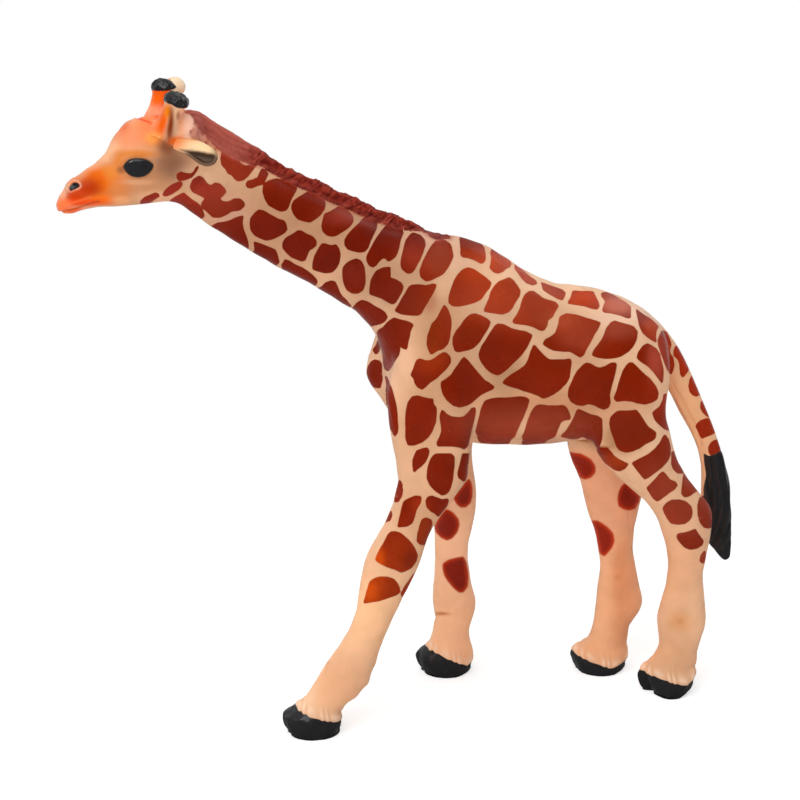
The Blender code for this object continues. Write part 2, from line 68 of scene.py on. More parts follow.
def add(tree, kind, sockets=None, **settings):
    """Adds one node: settings are its own, and each socket takes a value or another node's output."""
    node = tree.nodes.new(kind)
    for name, value in settings.items():
        setattr(node, name, value)
    for key, value in (sockets or {}).items():
        if isinstance(value, bpy.types.NodeSocket):
            tree.links.new(value, node.inputs[key])
        else:
            node.inputs[key].default_value = value
    return node


def empty_tree(owner):
    """An empty node tree for a world or a material."""
    owner.use_nodes = True
    owner.node_tree.nodes.clear()
    return owner.node_tree


def stand(turn, height):
    """The direction from the figure to a stand: degrees round from its near side, and degrees up."""
    turn, height = math.radians(turn), math.radians(height)
    return Vector((math.sin(turn) * math.cos(height), -math.cos(turn) * math.cos(height), math.sin(height)))


camera_turn, camera_height, camera_distance = -13.5, 17.0, 0.75     # degrees, degrees and metres
lens, sensor, picture = 135.0, 36.0, 800                            # millimetres, and pixels across
pixels = picture * lens / sensor                                    # in a metre seen from a metre away
looked_at = Vector((-0.0024, 0.0, 0.08025))
back = stand(camera_turn, camera_height)
right = Vector((math.cos(math.radians(camera_turn)), math.sin(math.radians(camera_turn)), 0.0))
up = back.cross(right)
camera = bpy.data.objects.new("camera", bpy.data.cameras.new("camera"))
camera.data.lens, camera.data.sensor_width = lens, sensor
camera.data.clip_start, camera.data.clip_end = 0.01, 20.0
camera.location = looked_at + back * camera_distance
camera.rotation_mode = "QUATERNION"
camera.rotation_quaternion = (-back).to_track_quat("-Z", "Y")
scene.collection.objects.link(camera)
scene.camera = camera
scene.view_settings.view_transform = "Standard"


def in_photo(places):
    """Where the camera sees points given in millimetres, in pixels of its 800 x 800 picture."""
    ray = places / 1000 - np.array(camera.location)
    depth = -(ray @ np.array(back))
    across = np.stack([ray @ np.array(right), -(ray @ np.array(up))], axis=1)
    return picture / 2 + pixels * across / depth[:, None]


for name, turn, height, away, size, watts in [
        ("overhead lamp", -30.0, 64.0, 0.80, 0.70, 3.2),
        ("front lamp", -22.0, 12.0, 1.10, 0.90, 4.9),
        ("back right lamp", 118.0, 38.0, 0.90, 0.45, 0.8),
        ("small window lamp", -52.0, 42.0, 0.90, 0.20, 0.7)]:
    lamp = bpy.data.lights.new(name, "AREA")
    lamp.size, lamp.energy = size, watts
    holder = bpy.data.objects.new(name, lamp)
    holder.location = looked_at + stand(turn, height) * away
    holder.rotation_mode = "QUATERNION"
    holder.rotation_quaternion = stand(turn, height).to_track_quat("Z", "Y")
    holder.visible_glossy = name != "front lamp"     # its white glare would wash out the dark paint
    scene.collection.objects.link(holder)

# The tent: dim on the camera's side and bright behind the figure, and plain white to the camera.
tent_dim, tent_bright, glare_cut = 0.10, 1.05, 0.72
world = bpy.data.worlds.new("tent")
tree = empty_tree(world)
path = add(tree, "ShaderNodeLightPath")
sees = add(tree, "ShaderNodeMath", {0: path.outputs["Is Camera Ray"], 1: path.outputs["Is Transmission Ray"]},
           operation="MAXIMUM")
aim = add(tree, "ShaderNodeTexCoord")
aim = add(tree, "ShaderNodeSeparateXYZ", {0: aim.outputs["Generated"]})
behind = add(tree, "ShaderNodeMapRange", {"Value": aim.outputs["Y"], "From Min": -0.45, "From Max": 0.4,
                                          "To Min": tent_dim, "To Max": tent_bright},
             interpolation_type="SMOOTHSTEP")
dimmed = add(tree, "ShaderNodeMath", {0: path.outputs["Is Glossy Ray"], 1: -glare_cut, 2: 1.0},
             operation="MULTIPLY_ADD")
level = add(tree, "ShaderNodeMath", {0: behind.outputs[0], 1: dimmed.outputs[0]}, operation="MULTIPLY")
tent = add(tree, "ShaderNodeBackground", {"Color": linear("#FFFFFF"), "Strength": level.outputs[0]})
white = add(tree, "ShaderNodeBackground", {"Color": linear("#FFFFFF"), "Strength": 1.0})
both = add(tree, "ShaderNodeMixShader", {0: sees.outputs[0], 1: tent.outputs[0], 2: white.outputs[0]})
add(tree, "ShaderNodeOutputWorld", {"Surface": both.outputs[0]})
scene.world = world

# The sweep: matt white card. It keeps the figure's soft shadow, and further off it is plain white. To
# bounced light it is paler than to the camera, as the photograph's undersides are bright, and to glossy
# rays it is dark in front and bright behind, as the tent is.
shadow_ends, all_white, half_width = 0.13, 0.24, 4.0     # metres
card = bpy.data.materials.new("matt white card")
tree = empty_tree(card)
path = add(tree, "ShaderNodeLightPath")
place = add(tree, "ShaderNodeTexCoord")
away = add(tree, "ShaderNodeVectorMath", {0: place.outputs["Object"]}, operation="LENGTH")
far = add(tree, "ShaderNodeMapRange", {"Value": away.outputs["Value"], "From Min": shadow_ends,
                                       "From Max": all_white}, interpolation_type="SMOOTHSTEP")
seen = add(tree, "ShaderNodeMath", {0: path.outputs["Is Camera Ray"], 1: path.outputs["Is Transmission Ray"]},
           operation="MAXIMUM")
sheet = add(tree, "ShaderNodeBsdfDiffuse", {"Color": linear("#C8C8C8"), "Roughness": 0.6})
bounce = add(tree, "ShaderNodeBsdfDiffuse", {"Color": linear("#F2F2F2"), "Roughness": 0.6})
lift = add(tree, "ShaderNodeEmission", {"Color": linear("#FFFFFF"), "Strength": 0.6})
near_sheet = add(tree, "ShaderNodeAddShader", {0: sheet.outputs[0], 1: lift.outputs[0]})
far_sheet = add(tree, "ShaderNodeEmission", {"Color": linear("#FFFFFF"), "Strength": 1.0})
camera_sheet = add(tree, "ShaderNodeMixShader", {0: far.outputs[0], 1: near_sheet.outputs[0],
                                                 2: far_sheet.outputs[0]})
split = add(tree, "ShaderNodeSeparateXYZ", {0: place.outputs["Object"]})
shine = add(tree, "ShaderNodeMapRange", {"Value": split.outputs["Y"], "From Min": 0.0, "From Max": 0.3,
                                         "To Min": 0.06, "To Max": 0.6}, interpolation_type="SMOOTHSTEP")
mirrored = add(tree, "ShaderNodeEmission", {"Color": linear("#FFFFFF"), "Strength": shine.outputs[0]})
lit = add(tree, "ShaderNodeMixShader", {0: path.outputs["Is Glossy Ray"], 1: bounce.outputs[0],
                                        2: mirrored.outputs[0]})
whole = add(tree, "ShaderNodeMixShader", {0: seen.outputs[0], 1: lit.outputs[0], 2: camera_sheet.outputs[0]})
add(tree, "ShaderNodeOutputMaterial", {"Surface": whole.outputs[0]})
sweep = bpy.data.meshes.new("sweep")
sweep.from_pydata([(sx * half_width, sy * half_width, -0.0001) for sx, sy in ((-1, -1), (1, -1), (1, 1), (-1, 1))],
                  [], [(0, 1, 2, 3)])
sweep.materials.append(card)
sweep = bpy.data.objects.new("sweep", sweep)
scene.collection.objects.link(sweep)


# ------------------------------------------------------------------------------ moulded skin
# The figure is solid PVC. Its parts are moulded apart, glued and painted over, so no seam shows and one
# skin runs over them with small rounded fillets. It is drawn round the frame's solids in millimetres,
# relaxed, and then carved and painted part by part. The ears are thin leaves of their own.

grain = 0.415     # the spacing of the skin's mesh
swell = 0.25                             # the skin is drawn this proud of the solids, and taken back
corners, cad_faces, cad_owner, blank = [], [], [], []
body_nodes = [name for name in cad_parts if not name.endswith("ear")]
number_of = {name: i for i, name in enumerate(body_nodes)}
for number, name in enumerate(body_nodes):
    solid = bmesh.new()
    solid.from_mesh(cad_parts[name].data)
    bmesh.ops.remove_doubles(solid, verts=solid.verts, dist=1e-6)
    bmesh.ops.triangulate(solid, faces=solid.faces)
    solid.normal_update()
    start = len(corners)
    corners += [v.co * 1000 for v in solid.verts]
    blank += [v.co * 1000 + v.normal * swell for v in solid.verts]
    cad_faces += [[start + v.index for v in f.verts] for f in solid.faces]
    cad_owner += [number] * len(solid.faces)
    solid.free()
solids = BVHTree.FromPolygons(corners, cad_faces)

# Soft swellings that run into the same skin, by their middles and radii: the horns' flared roots, the
# low saddle behind them, the ears' roots, and the bare back of the right horn's tip.
skin_faces = list(cad_faces)
for middle, radii in [((-59.6, 4.8, 151.0), (3.9, 3.4, 7.4)), ((-57.6, -4.6, 150.8), (3.0, 2.7, 6.8)),
                      ((-57.0, 4.6, 150.4), (4.2, 3.6, 7.2)), ((-56.6, -4.6, 150.4), (4.2, 3.4, 7.2)),
                      ((-54.2, 0.0, 151.8), (4.0, 4.6, 4.8)), ((-60.0, 6.4, 149.8), (2.6, 2.0, 2.0)),
                      ((-60.0, -6.4, 149.8), (2.6, 2.0, 2.0)), ((-57.0, 7.4, 160.6), (3.6, 2.9, 2.9))]:
    ball = bmesh.new()
    bmesh.ops.create_icosphere(ball, subdivisions=3, radius=1.0)
    start = len(blank)
    blank += [Vector((middle[k] + radii[k] * v.co[k] for k in range(3))) for v in ball.verts]
    skin_faces += [[start + v.index for v in f.verts] for f in ball.faces]
    ball.free()

model = bpy.data.meshes.new("blank")
model.from_pydata(blank, [], skin_faces)
holder = bpy.data.objects.new("blank", model)
scene.collection.objects.link(holder)
draw = holder.modifiers.new("skin", "REMESH")
draw.mode, draw.voxel_size = "VOXEL", grain
cast = bpy.data.meshes.new_from_object(holder.evaluated_get(bpy.context.evaluated_depsgraph_get()))
bpy.data.objects.remove(holder)


def read(mesh):
    """A triangulated mesh's points, edges and triangles, and how many neighbours each point has."""
    places = np.empty(len(mesh.vertices) * 3)
    mesh.vertices.foreach_get("co", places)
    lines = np.empty(len(mesh.edges) * 2, dtype=np.int64)
    mesh.edges.foreach_get("vertices", lines)
    loops = np.empty(len(mesh.loops), dtype=np.int64)
    mesh.loops.foreach_get("vertex_index", loops)
    return places.reshape(-1, 3), lines.reshape(-1, 2), loops, np.bincount(lines, minlength=len(mesh.vertices)) * 1.0


def averaged(values):
    """Each point's mean of its neighbours' values."""
    total = np.empty_like(values)
    for axis in range(values.shape[1]):
        column = values[:, axis]
        total[:, axis] = (np.bincount(edges[:, 0], column[edges[:, 1]], len(values))
                          + np.bincount(edges[:, 1], column[edges[:, 0]], len(values)))
    return total / neighbours[:, None]


def relaxed(values, strength, passes):
    """Values evened out over the skin; strength is how far each point moves to the mean in a pass."""
    for _ in range(passes):
        values = values + (averaged(values) - values) * strength
    return values


def facing():
    """Unit normals of the skin's points."""
    a, b, c = (points[triangles[:, k]] for k in range(3))
    across = np.cross(b - a, c - a)
    total = np.stack([sum(np.bincount(triangles[:, k], across[:, axis], len(points)) for k in range(3))
                      for axis in range(3)], axis=1)
    return total / np.maximum(np.linalg.norm(total, axis=1, keepdims=True), 1e-12)


def made_of(*names):
    """Which of the skin's points belong to the named parts."""
    return np.isin(owner, [number_of[name] for name in names])


points, edges, _, neighbours = read(cast)
owner = np.array([cad_owner[solids.find_nearest(Vector(p))[2]] for p in points])
legs = [name for name in body_nodes if name.endswith("_leg")]

# How freely each part relaxes: broad flesh fully, small carved parts and the feet hardly.
freedom = {"torso": 1.0, "neck": 1.0, "head": 0.35, "mane": 0.06, "left_ossicone": 0.08,
           "right_ossicone": 0.08, "tail": 0.25}
foot_height, foot_freedom, evening = 7.0, 0.08, 0.5
mask = np.array([freedom.get(name, 0.3) for name in body_nodes])[owner]
mask[made_of(*legs) & (points[:, 2] < foot_height)] = foot_freedom
mask = relaxed(mask[:, None], evening, 20)
outward = np.empty(len(points) * 3)
cast.vertices.foreach_get("normal", outward)
outward = outward.reshape(-1, 3)
smooth = relaxed(points, evening * mask, 150)
lost = np.sum((points - smooth) * outward, axis=1, keepdims=True)
points = smooth + outward * (relaxed(lost, evening * mask, 60) - swell)
points[:, 2] = np.maximum(points[:, 2], 0.0)
cast.vertices.foreach_set("co", points.ravel())
cast.update()

# The face, mane, horns, hooves and tuft are carved finer than the rest, so their skin is divided once more.
fine_below = {"head": 999, "mane": 999, "left_ossicone": 999, "right_ossicone": 999, "tail": 66.0,
              **dict.fromkeys(legs, 10.0)}
bm = bmesh.new()
bm.from_mesh(cast)
tag = bm.faces.layers.int.new("node")
fine = []
for face in bm.faces:
    face[tag] = int(owner[face.verts[0].index])
    if face.verts[0].co.z < fine_below.get(body_nodes[face[tag]], 0):
        fine.append(face)
bmesh.ops.subdivide_edges(bm, edges=list({e for f in fine for e in f.edges}), cuts=1, use_grid_fill=True)
bmesh.ops.triangulate(bm, faces=bm.faces)
tag = bm.faces.layers.int["node"]
owner_of_face = np.array([f[tag] for f in bm.faces])
bm.to_mesh(cast)
bm.free()
points, edges, triangles, neighbours = read(cast)
triangles = triangles.reshape(-1, 3)
bpy.data.meshes.remove(cast)
owner = np.zeros(len(points), dtype=int)
for corner in range(3):
    owner[triangles[:, corner]] = owner_of_face
normals = facing()
x, y, z = points.T.copy()
turned = normals[:, 1] * np.sign(y + 1e-9)       # how far the skin faces away from the figure's middle
trunk, is_leg = made_of("torso"), made_of(*legs)


# ------------------------------------------------------------------------------ coat: trunk and neck
# The trunk carries a socket for every limb, and the neck plugs into its withers. The coat is acrylic
# sprayed through masks on the bare PVC: a peach ground, then rust patches. The near side's patches are
# drawn from the photograph in its pixels, and the far side repeats them.

pixels_per_mm = 4            # of the photograph, at the figure
far_out = 2.5                # patches' edges are measured out to this many millimetres


def rounded(outline, cut=0.2):
    """An outline with its corners cut twice, so that it reads as a sprayed edge."""
    shape = np.reshape(np.array(outline, dtype=float), (-1, 2))
    for _ in range(2):
        ahead = np.roll(shape, -1, axis=0)
        shape = np.stack([shape * (1 - cut) + ahead * cut, shape * cut + ahead * (1 - cut)], axis=1).reshape(-1, 2)
    return shape


def to_line(places, line):
    """How far places lie from a line through the given corners, flat or in space."""
    best = np.full(len(places), np.inf)
    for a, b in zip(line[:-1], line[1:]):
        a, b = np.asarray(a, dtype=float), np.asarray(b, dtype=float)
        share = np.clip((places - a) @ (b - a) / max((b - a) @ (b - a), 1e-9), 0, 1)
        best = np.minimum(best, np.linalg.norm(places - a - share[:, None] * (b - a), axis=1))
    return best


def within(flat, shape):
    """How many millimetres flat places lie inside a closed outline; outside is negative."""
    px, py = flat[:, 0], flat[:, 1]
    inside = np.zeros(len(flat), dtype=bool)
    for (ax, ay), (bx, by) in zip(shape, np.roll(shape, -1, axis=0)):
        if ay != by:
            inside ^= ((ay > py) != (by > py)) & (px < (bx - ax) * (py - ay) / (by - ay) + ax)
    return np.where(inside, 1, -1) * to_line(flat, [*shape, shape[0]]) / pixels_per_mm


def painted(flat, outlines, edge=far_out):
    """Millimetres inside the nearest of several patches."""
    depth = np.full(len(flat), -edge)
    for outline in outlines:
        shape = rounded(outline, 0.13)
        low, high = shape.min(axis=0) - pixels_per_mm * edge, shape.max(axis=0) + pixels_per_mm * edge
        close = np.flatnonzero(np.all((flat > low) & (flat < high), axis=1))
        if len(close):
            depth[close] = np.maximum(depth[close], within(flat[close], shape))
    return depth


def step(low, high, values):
    """A soft step from 0 at low to 1 at high."""
    share = np.clip((values - low) / (high - low), 0, 1)
    return share * share * (3 - 2 * share)


def oval(flat, px, py, wide, high):
    """Squared distance from an oval's middle, where 1 is the oval itself."""
    return ((flat[:, 0] - px) / wide) ** 2 + ((flat[:, 1] - py) / high) ** 2


def tint(colour, shade, share):
    """Lays a shade over a colour, by a share at each point."""
    colour += (np.array(linear(shade)) - colour) * share[:, None]


def spray(colour, flat, passes, where=1.0):
    """Lays soft-edged passes of the spray gun over a colour: the photograph's x and y, half width and
    half height in its pixels, shade, and strength."""
    for px, py, wide, high, shade, strength in passes:
        tint(colour, shade, strength * where * np.exp(-oval(flat, px, py, wide, high) ** 1.5))


# Where the camera would see each point if it were on the near side. The camera looks a little over
# the back and past the chest, so the fold lies beyond the middle there.
over = np.maximum(0, -0.24 * normals[:, 0] + 0.314 * normals[:, 2])
folded = points.copy()
folded[:, 1] -= 2 * np.maximum(0, points[:, 1] - np.where(trunk, 10.0, 5.0) * over)
direct = in_photo(points)

# Each leg's shape by height: its middle and half widths, fore-and-aft and across.
heights = np.arange(0.0, 66.0, 2.0)
leg_shape = {}
for name in legs:
    leg = points[made_of(name)]
    rows = []
    for height in heights:
        ring = leg[np.abs(leg[:, 2] - np.clip(height, 1.5, 60.0)) < 1.6]
        low, high = ring.min(axis=0), ring.max(axis=0)
        rows.append([(low[0] + high[0]) / 2, (high[0] - low[0]) / 2, (low[1] + high[1]) / 2, (high[1] - low[1]) / 2])
    leg_shape[name] = np.array(rows)


def on_leg(name, places):
    """A leg's fore-and-aft middle and half width, and its middle and half width across, at each place."""
    return [np.interp(places[:, 2], heights, leg_shape[name][:, k]) for k in range(4)]


def carried_over(places, source, target):
    """Places on one leg moved to the like places on the side of another that faces the camera."""
    middle, half, _, _ = on_leg(source, places)
    share = np.clip((places[:, 0] - middle) / half, -1, 1)
    middle, half, across, depth = on_leg(target, places)
    moved = places.copy()
    moved[:, 0] = middle + share * half
    moved[:, 1] = across - depth * np.sqrt(1 - share ** 2)
    return moved


# The far legs take their outer pattern from the near ones, and the near legs their inner one from the
# far ones. On the far flank the pattern slides, above each leg, from the flank's place to the leg's.
outer_place, inner_place, slide = folded.copy(), points.copy(), []
for near, far in [("front_left_leg", "front_right_leg"), ("rear_left_leg", "rear_right_leg")]:
    outer_place[made_of(far)] = carried_over(points[made_of(far)], far, near)
    inner_place[made_of(near)] = carried_over(points[made_of(near)], near, far)
    slide.append(leg_shape[near][31, 0] - leg_shape[far][31, 0])
slide = slide[0] + (slide[1] - slide[0]) * step(26, 46, x)
outer_place[:, 0] += np.where(trunk & (y > 0), slide * (1 - step(62.5, 86.0, z)), 0)
outer, inner = in_photo(outer_place), in_photo(inner_place)

# The masks' outlines, each x,y after x,y. The inner sides of the legs and the belly stay bare.
neck_patches = [
    [225,149, 229,154, 231,157, 234,155, 238,158, 240,163, 245,166, 251,165, 257,164, 253,169, 248,176, 243,180,
     238,181, 235,179, 232,175, 228,173, 226,169, 222,165, 221,159, 222,153],
    [199,176, 203,178, 207,184, 211,186, 215,183, 220,184, 224,188, 226,192, 222,196, 219,199, 223,202, 229,202,
     234,199, 240,199, 244,203, 244,206, 240,210, 231,211, 227,214, 220,217, 213,217, 208,212, 203,208, 202,203,
     206,198, 200,195, 193,192, 190,187, 193,180],
    [171,200, 176,197, 181,194, 184,193, 187,196, 192,200, 197,203, 201,207, 203,212, 204,216, 202,218, 196,220,
     186,213, 176,206, 170,203],
    [212,226, 218,223, 224,222, 230,221, 236,218, 243,216, 242,222, 243,229, 246,236, 248,243, 248,248, 244,252,
     232,246, 220,237, 209,229],
    [250,224, 251,218, 255,213, 259,210, 264,211, 270,215, 278,219, 284,221, 286,225, 287,230, 284,233, 278,236,
     272,239, 266,240, 260,238, 255,235, 251,230],
    [246,184, 248,181, 253,180, 258,178, 260,173, 262,169, 266,170, 268,174, 266,178, 263,184, 258,185, 251,188,
     247,187],
    [264,184, 269,181, 276,179, 284,180, 291,184, 297,187, 295,192, 291,199, 288,207, 286,210, 281,211, 276,209,
     269,205, 265,199, 263,192],
    [292,205, 294,201, 298,198, 303,195, 308,192, 313,192, 319,196, 324,199, 325,204, 324,209, 320,215, 315,219,
     310,222, 304,221, 298,219, 294,214, 292,209],
    [325,214, 330,212, 335,209, 340,206, 345,209, 350,213, 353,217, 353,222, 349,227, 343,231, 337,235, 332,236,
     327,235, 323,231, 322,226, 323,220],
    [354,228, 359,224, 363,219, 368,215, 373,217, 377,222, 376,229, 373,235, 370,241, 368,247, 365,251, 360,252,
     354,251, 348,249, 345,245, 345,240, 348,235],
    [381,232, 385,227, 389,223, 395,224, 402,229, 403,233, 400,240, 399,247, 397,253, 395,257, 391,260, 388,261,
     386,258, 382,258, 379,261, 376,265, 373,267, 369,265, 367,261, 367,256, 371,249, 375,241],
    [406,241, 409,236, 413,233, 420,236, 424,240, 425,245, 423,252, 420,259, 417,264, 414,270, 411,273, 407,273,
     402,269, 401,264, 402,257, 404,249],
    [431,247, 436,241, 444,240, 450,244, 452,250, 453,256, 451,261, 448,267, 443,274, 437,277, 431,280, 426,281,
     421,277, 420,271, 423,262, 427,254],
    [283,243, 286,238, 292,235, 298,231, 301,231, 306,234, 313,237, 316,241, 316,245, 313,248, 309,250, 307,255,
     305,260, 302,261, 297,259, 292,257, 287,253, 283,248],
    [322,244, 325,244, 331,246, 336,245, 339,249, 340,255, 339,262, 336,268, 332,272, 325,273, 318,271, 313,269,
     313,263, 315,256, 318,250],
    [351,261, 356,259, 361,261, 364,267, 365,275, 365,283, 363,290, 358,293, 352,293, 347,290, 344,283, 343,275,
     343,268, 346,264],
    [377,271, 383,268, 390,267, 390,272, 390,278, 396,280, 401,283, 403,287, 401,293, 398,298, 395,303, 392,304,
     388,302, 382,298, 376,296, 370,294, 370,288, 371,281, 374,275],
    [409,287, 412,285, 420,285, 426,286, 433,284, 436,285, 434,291, 429,299, 425,306, 421,313, 418,315, 410,315,
     401,314, 395,311, 399,305, 402,299, 406,293],
    [254,242, 260,244, 268,247, 275,250, 277,256, 279,262, 275,266, 264,262, 252,256, 255,249],
    [285,260, 289,261, 295,265, 302,268, 308,272, 313,276, 317,281, 316,285, 308,286, 296,281, 282,273, 283,268,
     282,265, 284,262],
    [322,287, 326,283, 331,281, 335,282, 337,286, 339,292, 342,297, 347,301, 351,306, 347,309, 336,303, 325,297,
     315,290],
    [353,308, 357,303, 362,300, 368,302, 374,306, 380,309, 385,313, 387,317, 385,321, 380,324, 375,325, 370,326,
     362,320, 353,312],
    [391,320, 394,318, 400,320, 408,322, 413,325, 410,331, 409,337, 407,344, 406,349, 402,348, 398,344, 399,349,
     398,354, 394,361, 391,367, 388,371, 385,368, 382,360, 381,352, 381,345, 379,338, 377,333, 379,330, 383,328,
     387,323]]
trunk_patches = [
    [444,305, 447,309, 450,316, 451,323, 450,331, 449,338, 447,344, 443,348, 437,350, 433,353, 431,354, 429,350,
     427,344, 428,336, 430,329, 432,324, 436,320, 440,313],
    [463,270, 468,268, 474,270, 480,274, 487,279, 491,283, 489,288, 485,293, 481,299, 475,302, 468,304, 460,306,
     453,306, 449,303, 449,297, 451,290, 454,282, 458,275],
    [470,315, 475,314, 481,316, 487,319, 490,322, 488,328, 484,334, 480,340, 476,345, 472,348, 465,350, 458,351,
     455,350, 453,344, 453,337, 456,331, 461,325, 466,318],
    [460,237, 466,238, 473,240, 480,243, 484,248, 485,254, 485,260, 483,263, 480,263, 475,260, 469,258, 463,257,
     461,255, 461,248],
    [492,249, 497,251, 503,255, 508,260, 511,264, 509,267, 506,268, 503,271, 498,273, 494,272, 490,268, 491,264,
     492,258, 491,253],
    [515,265, 519,267, 524,272, 530,277, 535,281, 536,284, 532,285, 527,283, 522,278, 518,273, 515,269],
    [504,280, 509,278, 513,281, 517,286, 520,291, 519,296, 515,302, 512,308, 508,312, 502,314, 495,313, 488,312,
     484,311, 486,306, 489,299, 491,292, 495,286, 499,282],
    [525,295, 529,292, 533,292, 537,295, 543,299, 549,301, 555,303, 558,306, 555,311, 552,317, 548,320, 547,325,
     544,330, 540,330, 534,327, 528,325, 520,324, 514,323, 513,321, 517,315, 520,309, 522,301],
    [541,283, 545,284, 550,286, 556,288, 562,290, 565,293, 564,297, 562,300, 558,299, 553,296, 548,293, 543,290],
    [573,291, 580,292, 587,292, 593,292, 595,296, 598,302, 599,306, 597,309, 592,308, 586,306, 579,305, 572,304,
     568,303, 571,298],
    [602,293, 606,293, 612,295, 619,299, 626,303, 630,307, 630,312, 630,318, 627,318, 620,315, 612,313, 605,312,
     603,311, 604,306, 606,301, 602,296],
    [636,310, 640,313, 645,316, 650,319, 654,323, 658,327, 656,330, 655,335, 656,342, 652,340, 647,337, 643,333,
     640,326, 638,318],
    [611,323, 615,321, 620,323, 627,325, 633,327, 637,332, 636,339, 633,346, 627,352, 620,356, 612,358, 604,358,
     597,357, 592,355, 594,350, 599,344, 604,336, 607,328],
    [560,317, 566,314, 573,315, 581,317, 588,319, 595,321, 600,323, 598,328, 594,334, 590,342, 586,349, 583,355,
     580,357, 575,354, 570,351, 562,351, 554,350, 549,348, 543,344, 545,340, 551,337, 556,333, 559,325],
    [440,354, 444,352, 447,353, 450,357, 450,362, 446,368, 441,373, 436,378, 430,382, 425,387, 422,389, 418,387,
     415,383, 414,378, 411,375, 414,368, 417,360, 420,359, 425,361, 430,361, 435,358],
    [461,360, 464,357, 468,361, 473,367, 478,373, 484,380, 489,383, 494,387, 492,389, 487,391, 481,394, 476,398,
     472,402, 467,405, 460,407, 453,405, 447,400, 443,394, 441,387, 441,382, 446,379, 451,375, 456,367],
    [485,401, 491,399, 500,398, 510,398, 520,397, 526,398, 529,400, 527,407, 524,414, 521,421, 518,428, 515,435,
     511,443, 511,448, 490,447, 479,446, 477,436, 476,430, 478,423, 480,415, 482,407],
    [583,365, 586,363, 590,364, 595,367, 600,368, 606,366, 611,363, 615,363, 616,365, 614,374, 611,384, 609,394,
     610,402, 608,407, 604,409, 599,407, 594,404, 588,403, 582,405, 576,404, 571,401, 568,396, 569,388, 573,379,
     577,371],
    [626,366, 629,363, 632,363, 636,367, 642,373, 650,379, 655,386, 658,393, 657,399, 652,402, 645,404, 638,403,
     632,401, 624,400, 617,401, 614,398, 617,390, 620,379, 623,371],
    [640,350, 643,346, 647,344, 651,346, 656,349, 659,354, 661,361, 663,369, 663,377, 662,383, 659,379, 654,372,
     648,366, 641,362, 637,358, 638,353],
    [495,326, 498,324, 504,325, 512,329, 519,331, 526,332, 532,335, 530,340, 527,347, 522,354, 516,360, 509,367,
     503,372, 498,375, 492,373, 486,368, 481,361, 479,355, 481,348, 486,340, 491,332],
    [534,345, 536,347, 540,352, 545,357, 549,360, 556,360, 563,360, 570,359, 571,362, 570,369, 569,377, 566,383,
     560,389, 553,394, 547,397, 543,398, 538,395, 532,393, 525,391, 517,388, 509,386, 503,383, 505,380, 511,375,
     518,371, 525,366, 529,359, 531,352],
    [536,406, 540,405, 548,406, 556,406, 563,405, 566,407, 568,411, 570,416, 570,419, 564,420, 560,423, 558,428,
     556,433, 553,438, 545,445, 534,449, 516,449, 520,443, 523,436, 526,429, 528,421, 531,413]]
inward = np.where(is_leg | (trunk & (z < 72)), -turned, 0)
bare_side = 8.0 * np.maximum(0, inward - 0.15) + 5.0 * np.maximum(0, -normals[:, 2] - 0.7) * trunk
patch = painted(outer, neck_patches + trunk_patches) - bare_side

ground = np.tile(np.array(linear("#E6B48E")), (len(points), 1))
rust = np.tile(np.array(linear("#821E03")), (len(points), 1))
# Among the ground's shades, the brown line along the fold before the thigh, the darker ground round it and the brown
# dot in the near hock's dent are painted shade.
spray(ground, outer, [
    (300, 222, 130, 56, "#BE8C6A", 1.0), (226, 212, 24, 18, "#CC957C", 0.8), (204, 168, 20, 16, "#E6B690", 0.9),
    (445, 335, 50, 80, "#C6946F", 1.0), (398, 375, 22, 50, "#E8B794", 0.9), (500, 320, 34, 40, "#D2A586", 0.9),
    (560, 345, 60, 40, "#DAAB88", 0.9), (560, 403, 90, 18, "#CE9068", 0.9),
    (545, 284, 110, 20, "#EFC09A", 0.95), (455, 255, 30, 22, "#DAAD8F", 0.9),
    (640, 330, 26, 40, "#E6B794", 0.8), (612, 414, 30, 16, "#D19974", 0.8), (658, 440, 26, 26, "#EDBE98", 0.8),
    (418, 480, 40, 44, "#E2AE88", 0.9), (360, 610, 40, 46, "#FCC292", 0.95), (330, 682, 40, 30, "#EEB286", 0.9),
    (672, 570, 40, 40, "#EAAD82", 0.9), (680, 622, 14, 12, "#DE9A66", 0.8), (670, 655, 34, 22, "#E2A97E", 0.9),
    (681, 622, 3.0, 3.0, "#C4783E", 0.4), (600, 447, 14, 1.8, "#B4602E", 0.8),
    (430, 302, 7, 12, "#B06A4C", 0.7), (386, 280, 44, 32, "#BA8C6C", 0.9), (385, 240, 22, 16, "#C4967A", 0.8),
    (425, 240, 16, 12, "#D4A48C", 0.6), (505, 372, 26, 26, "#B88864", 0.9), (580, 362, 24, 14, "#C89674", 0.7),
    (622, 438, 20, 15, "#AC764E", 0.95), (420, 515, 22, 26, "#CC966E", 0.6), (545, 440, 30, 8, "#C48C6C", 0.7),
    (622, 316, 34, 16, "#F6CBAE", 0.8), (662, 385, 12, 40, "#F2C09A", 0.7), (420, 415, 26, 42, "#CC9870", 0.65),
    (704, 620, 16, 60, "#FCC298", 0.6), (300, 690, 16, 22, "#FFD4B0", 0.7)])
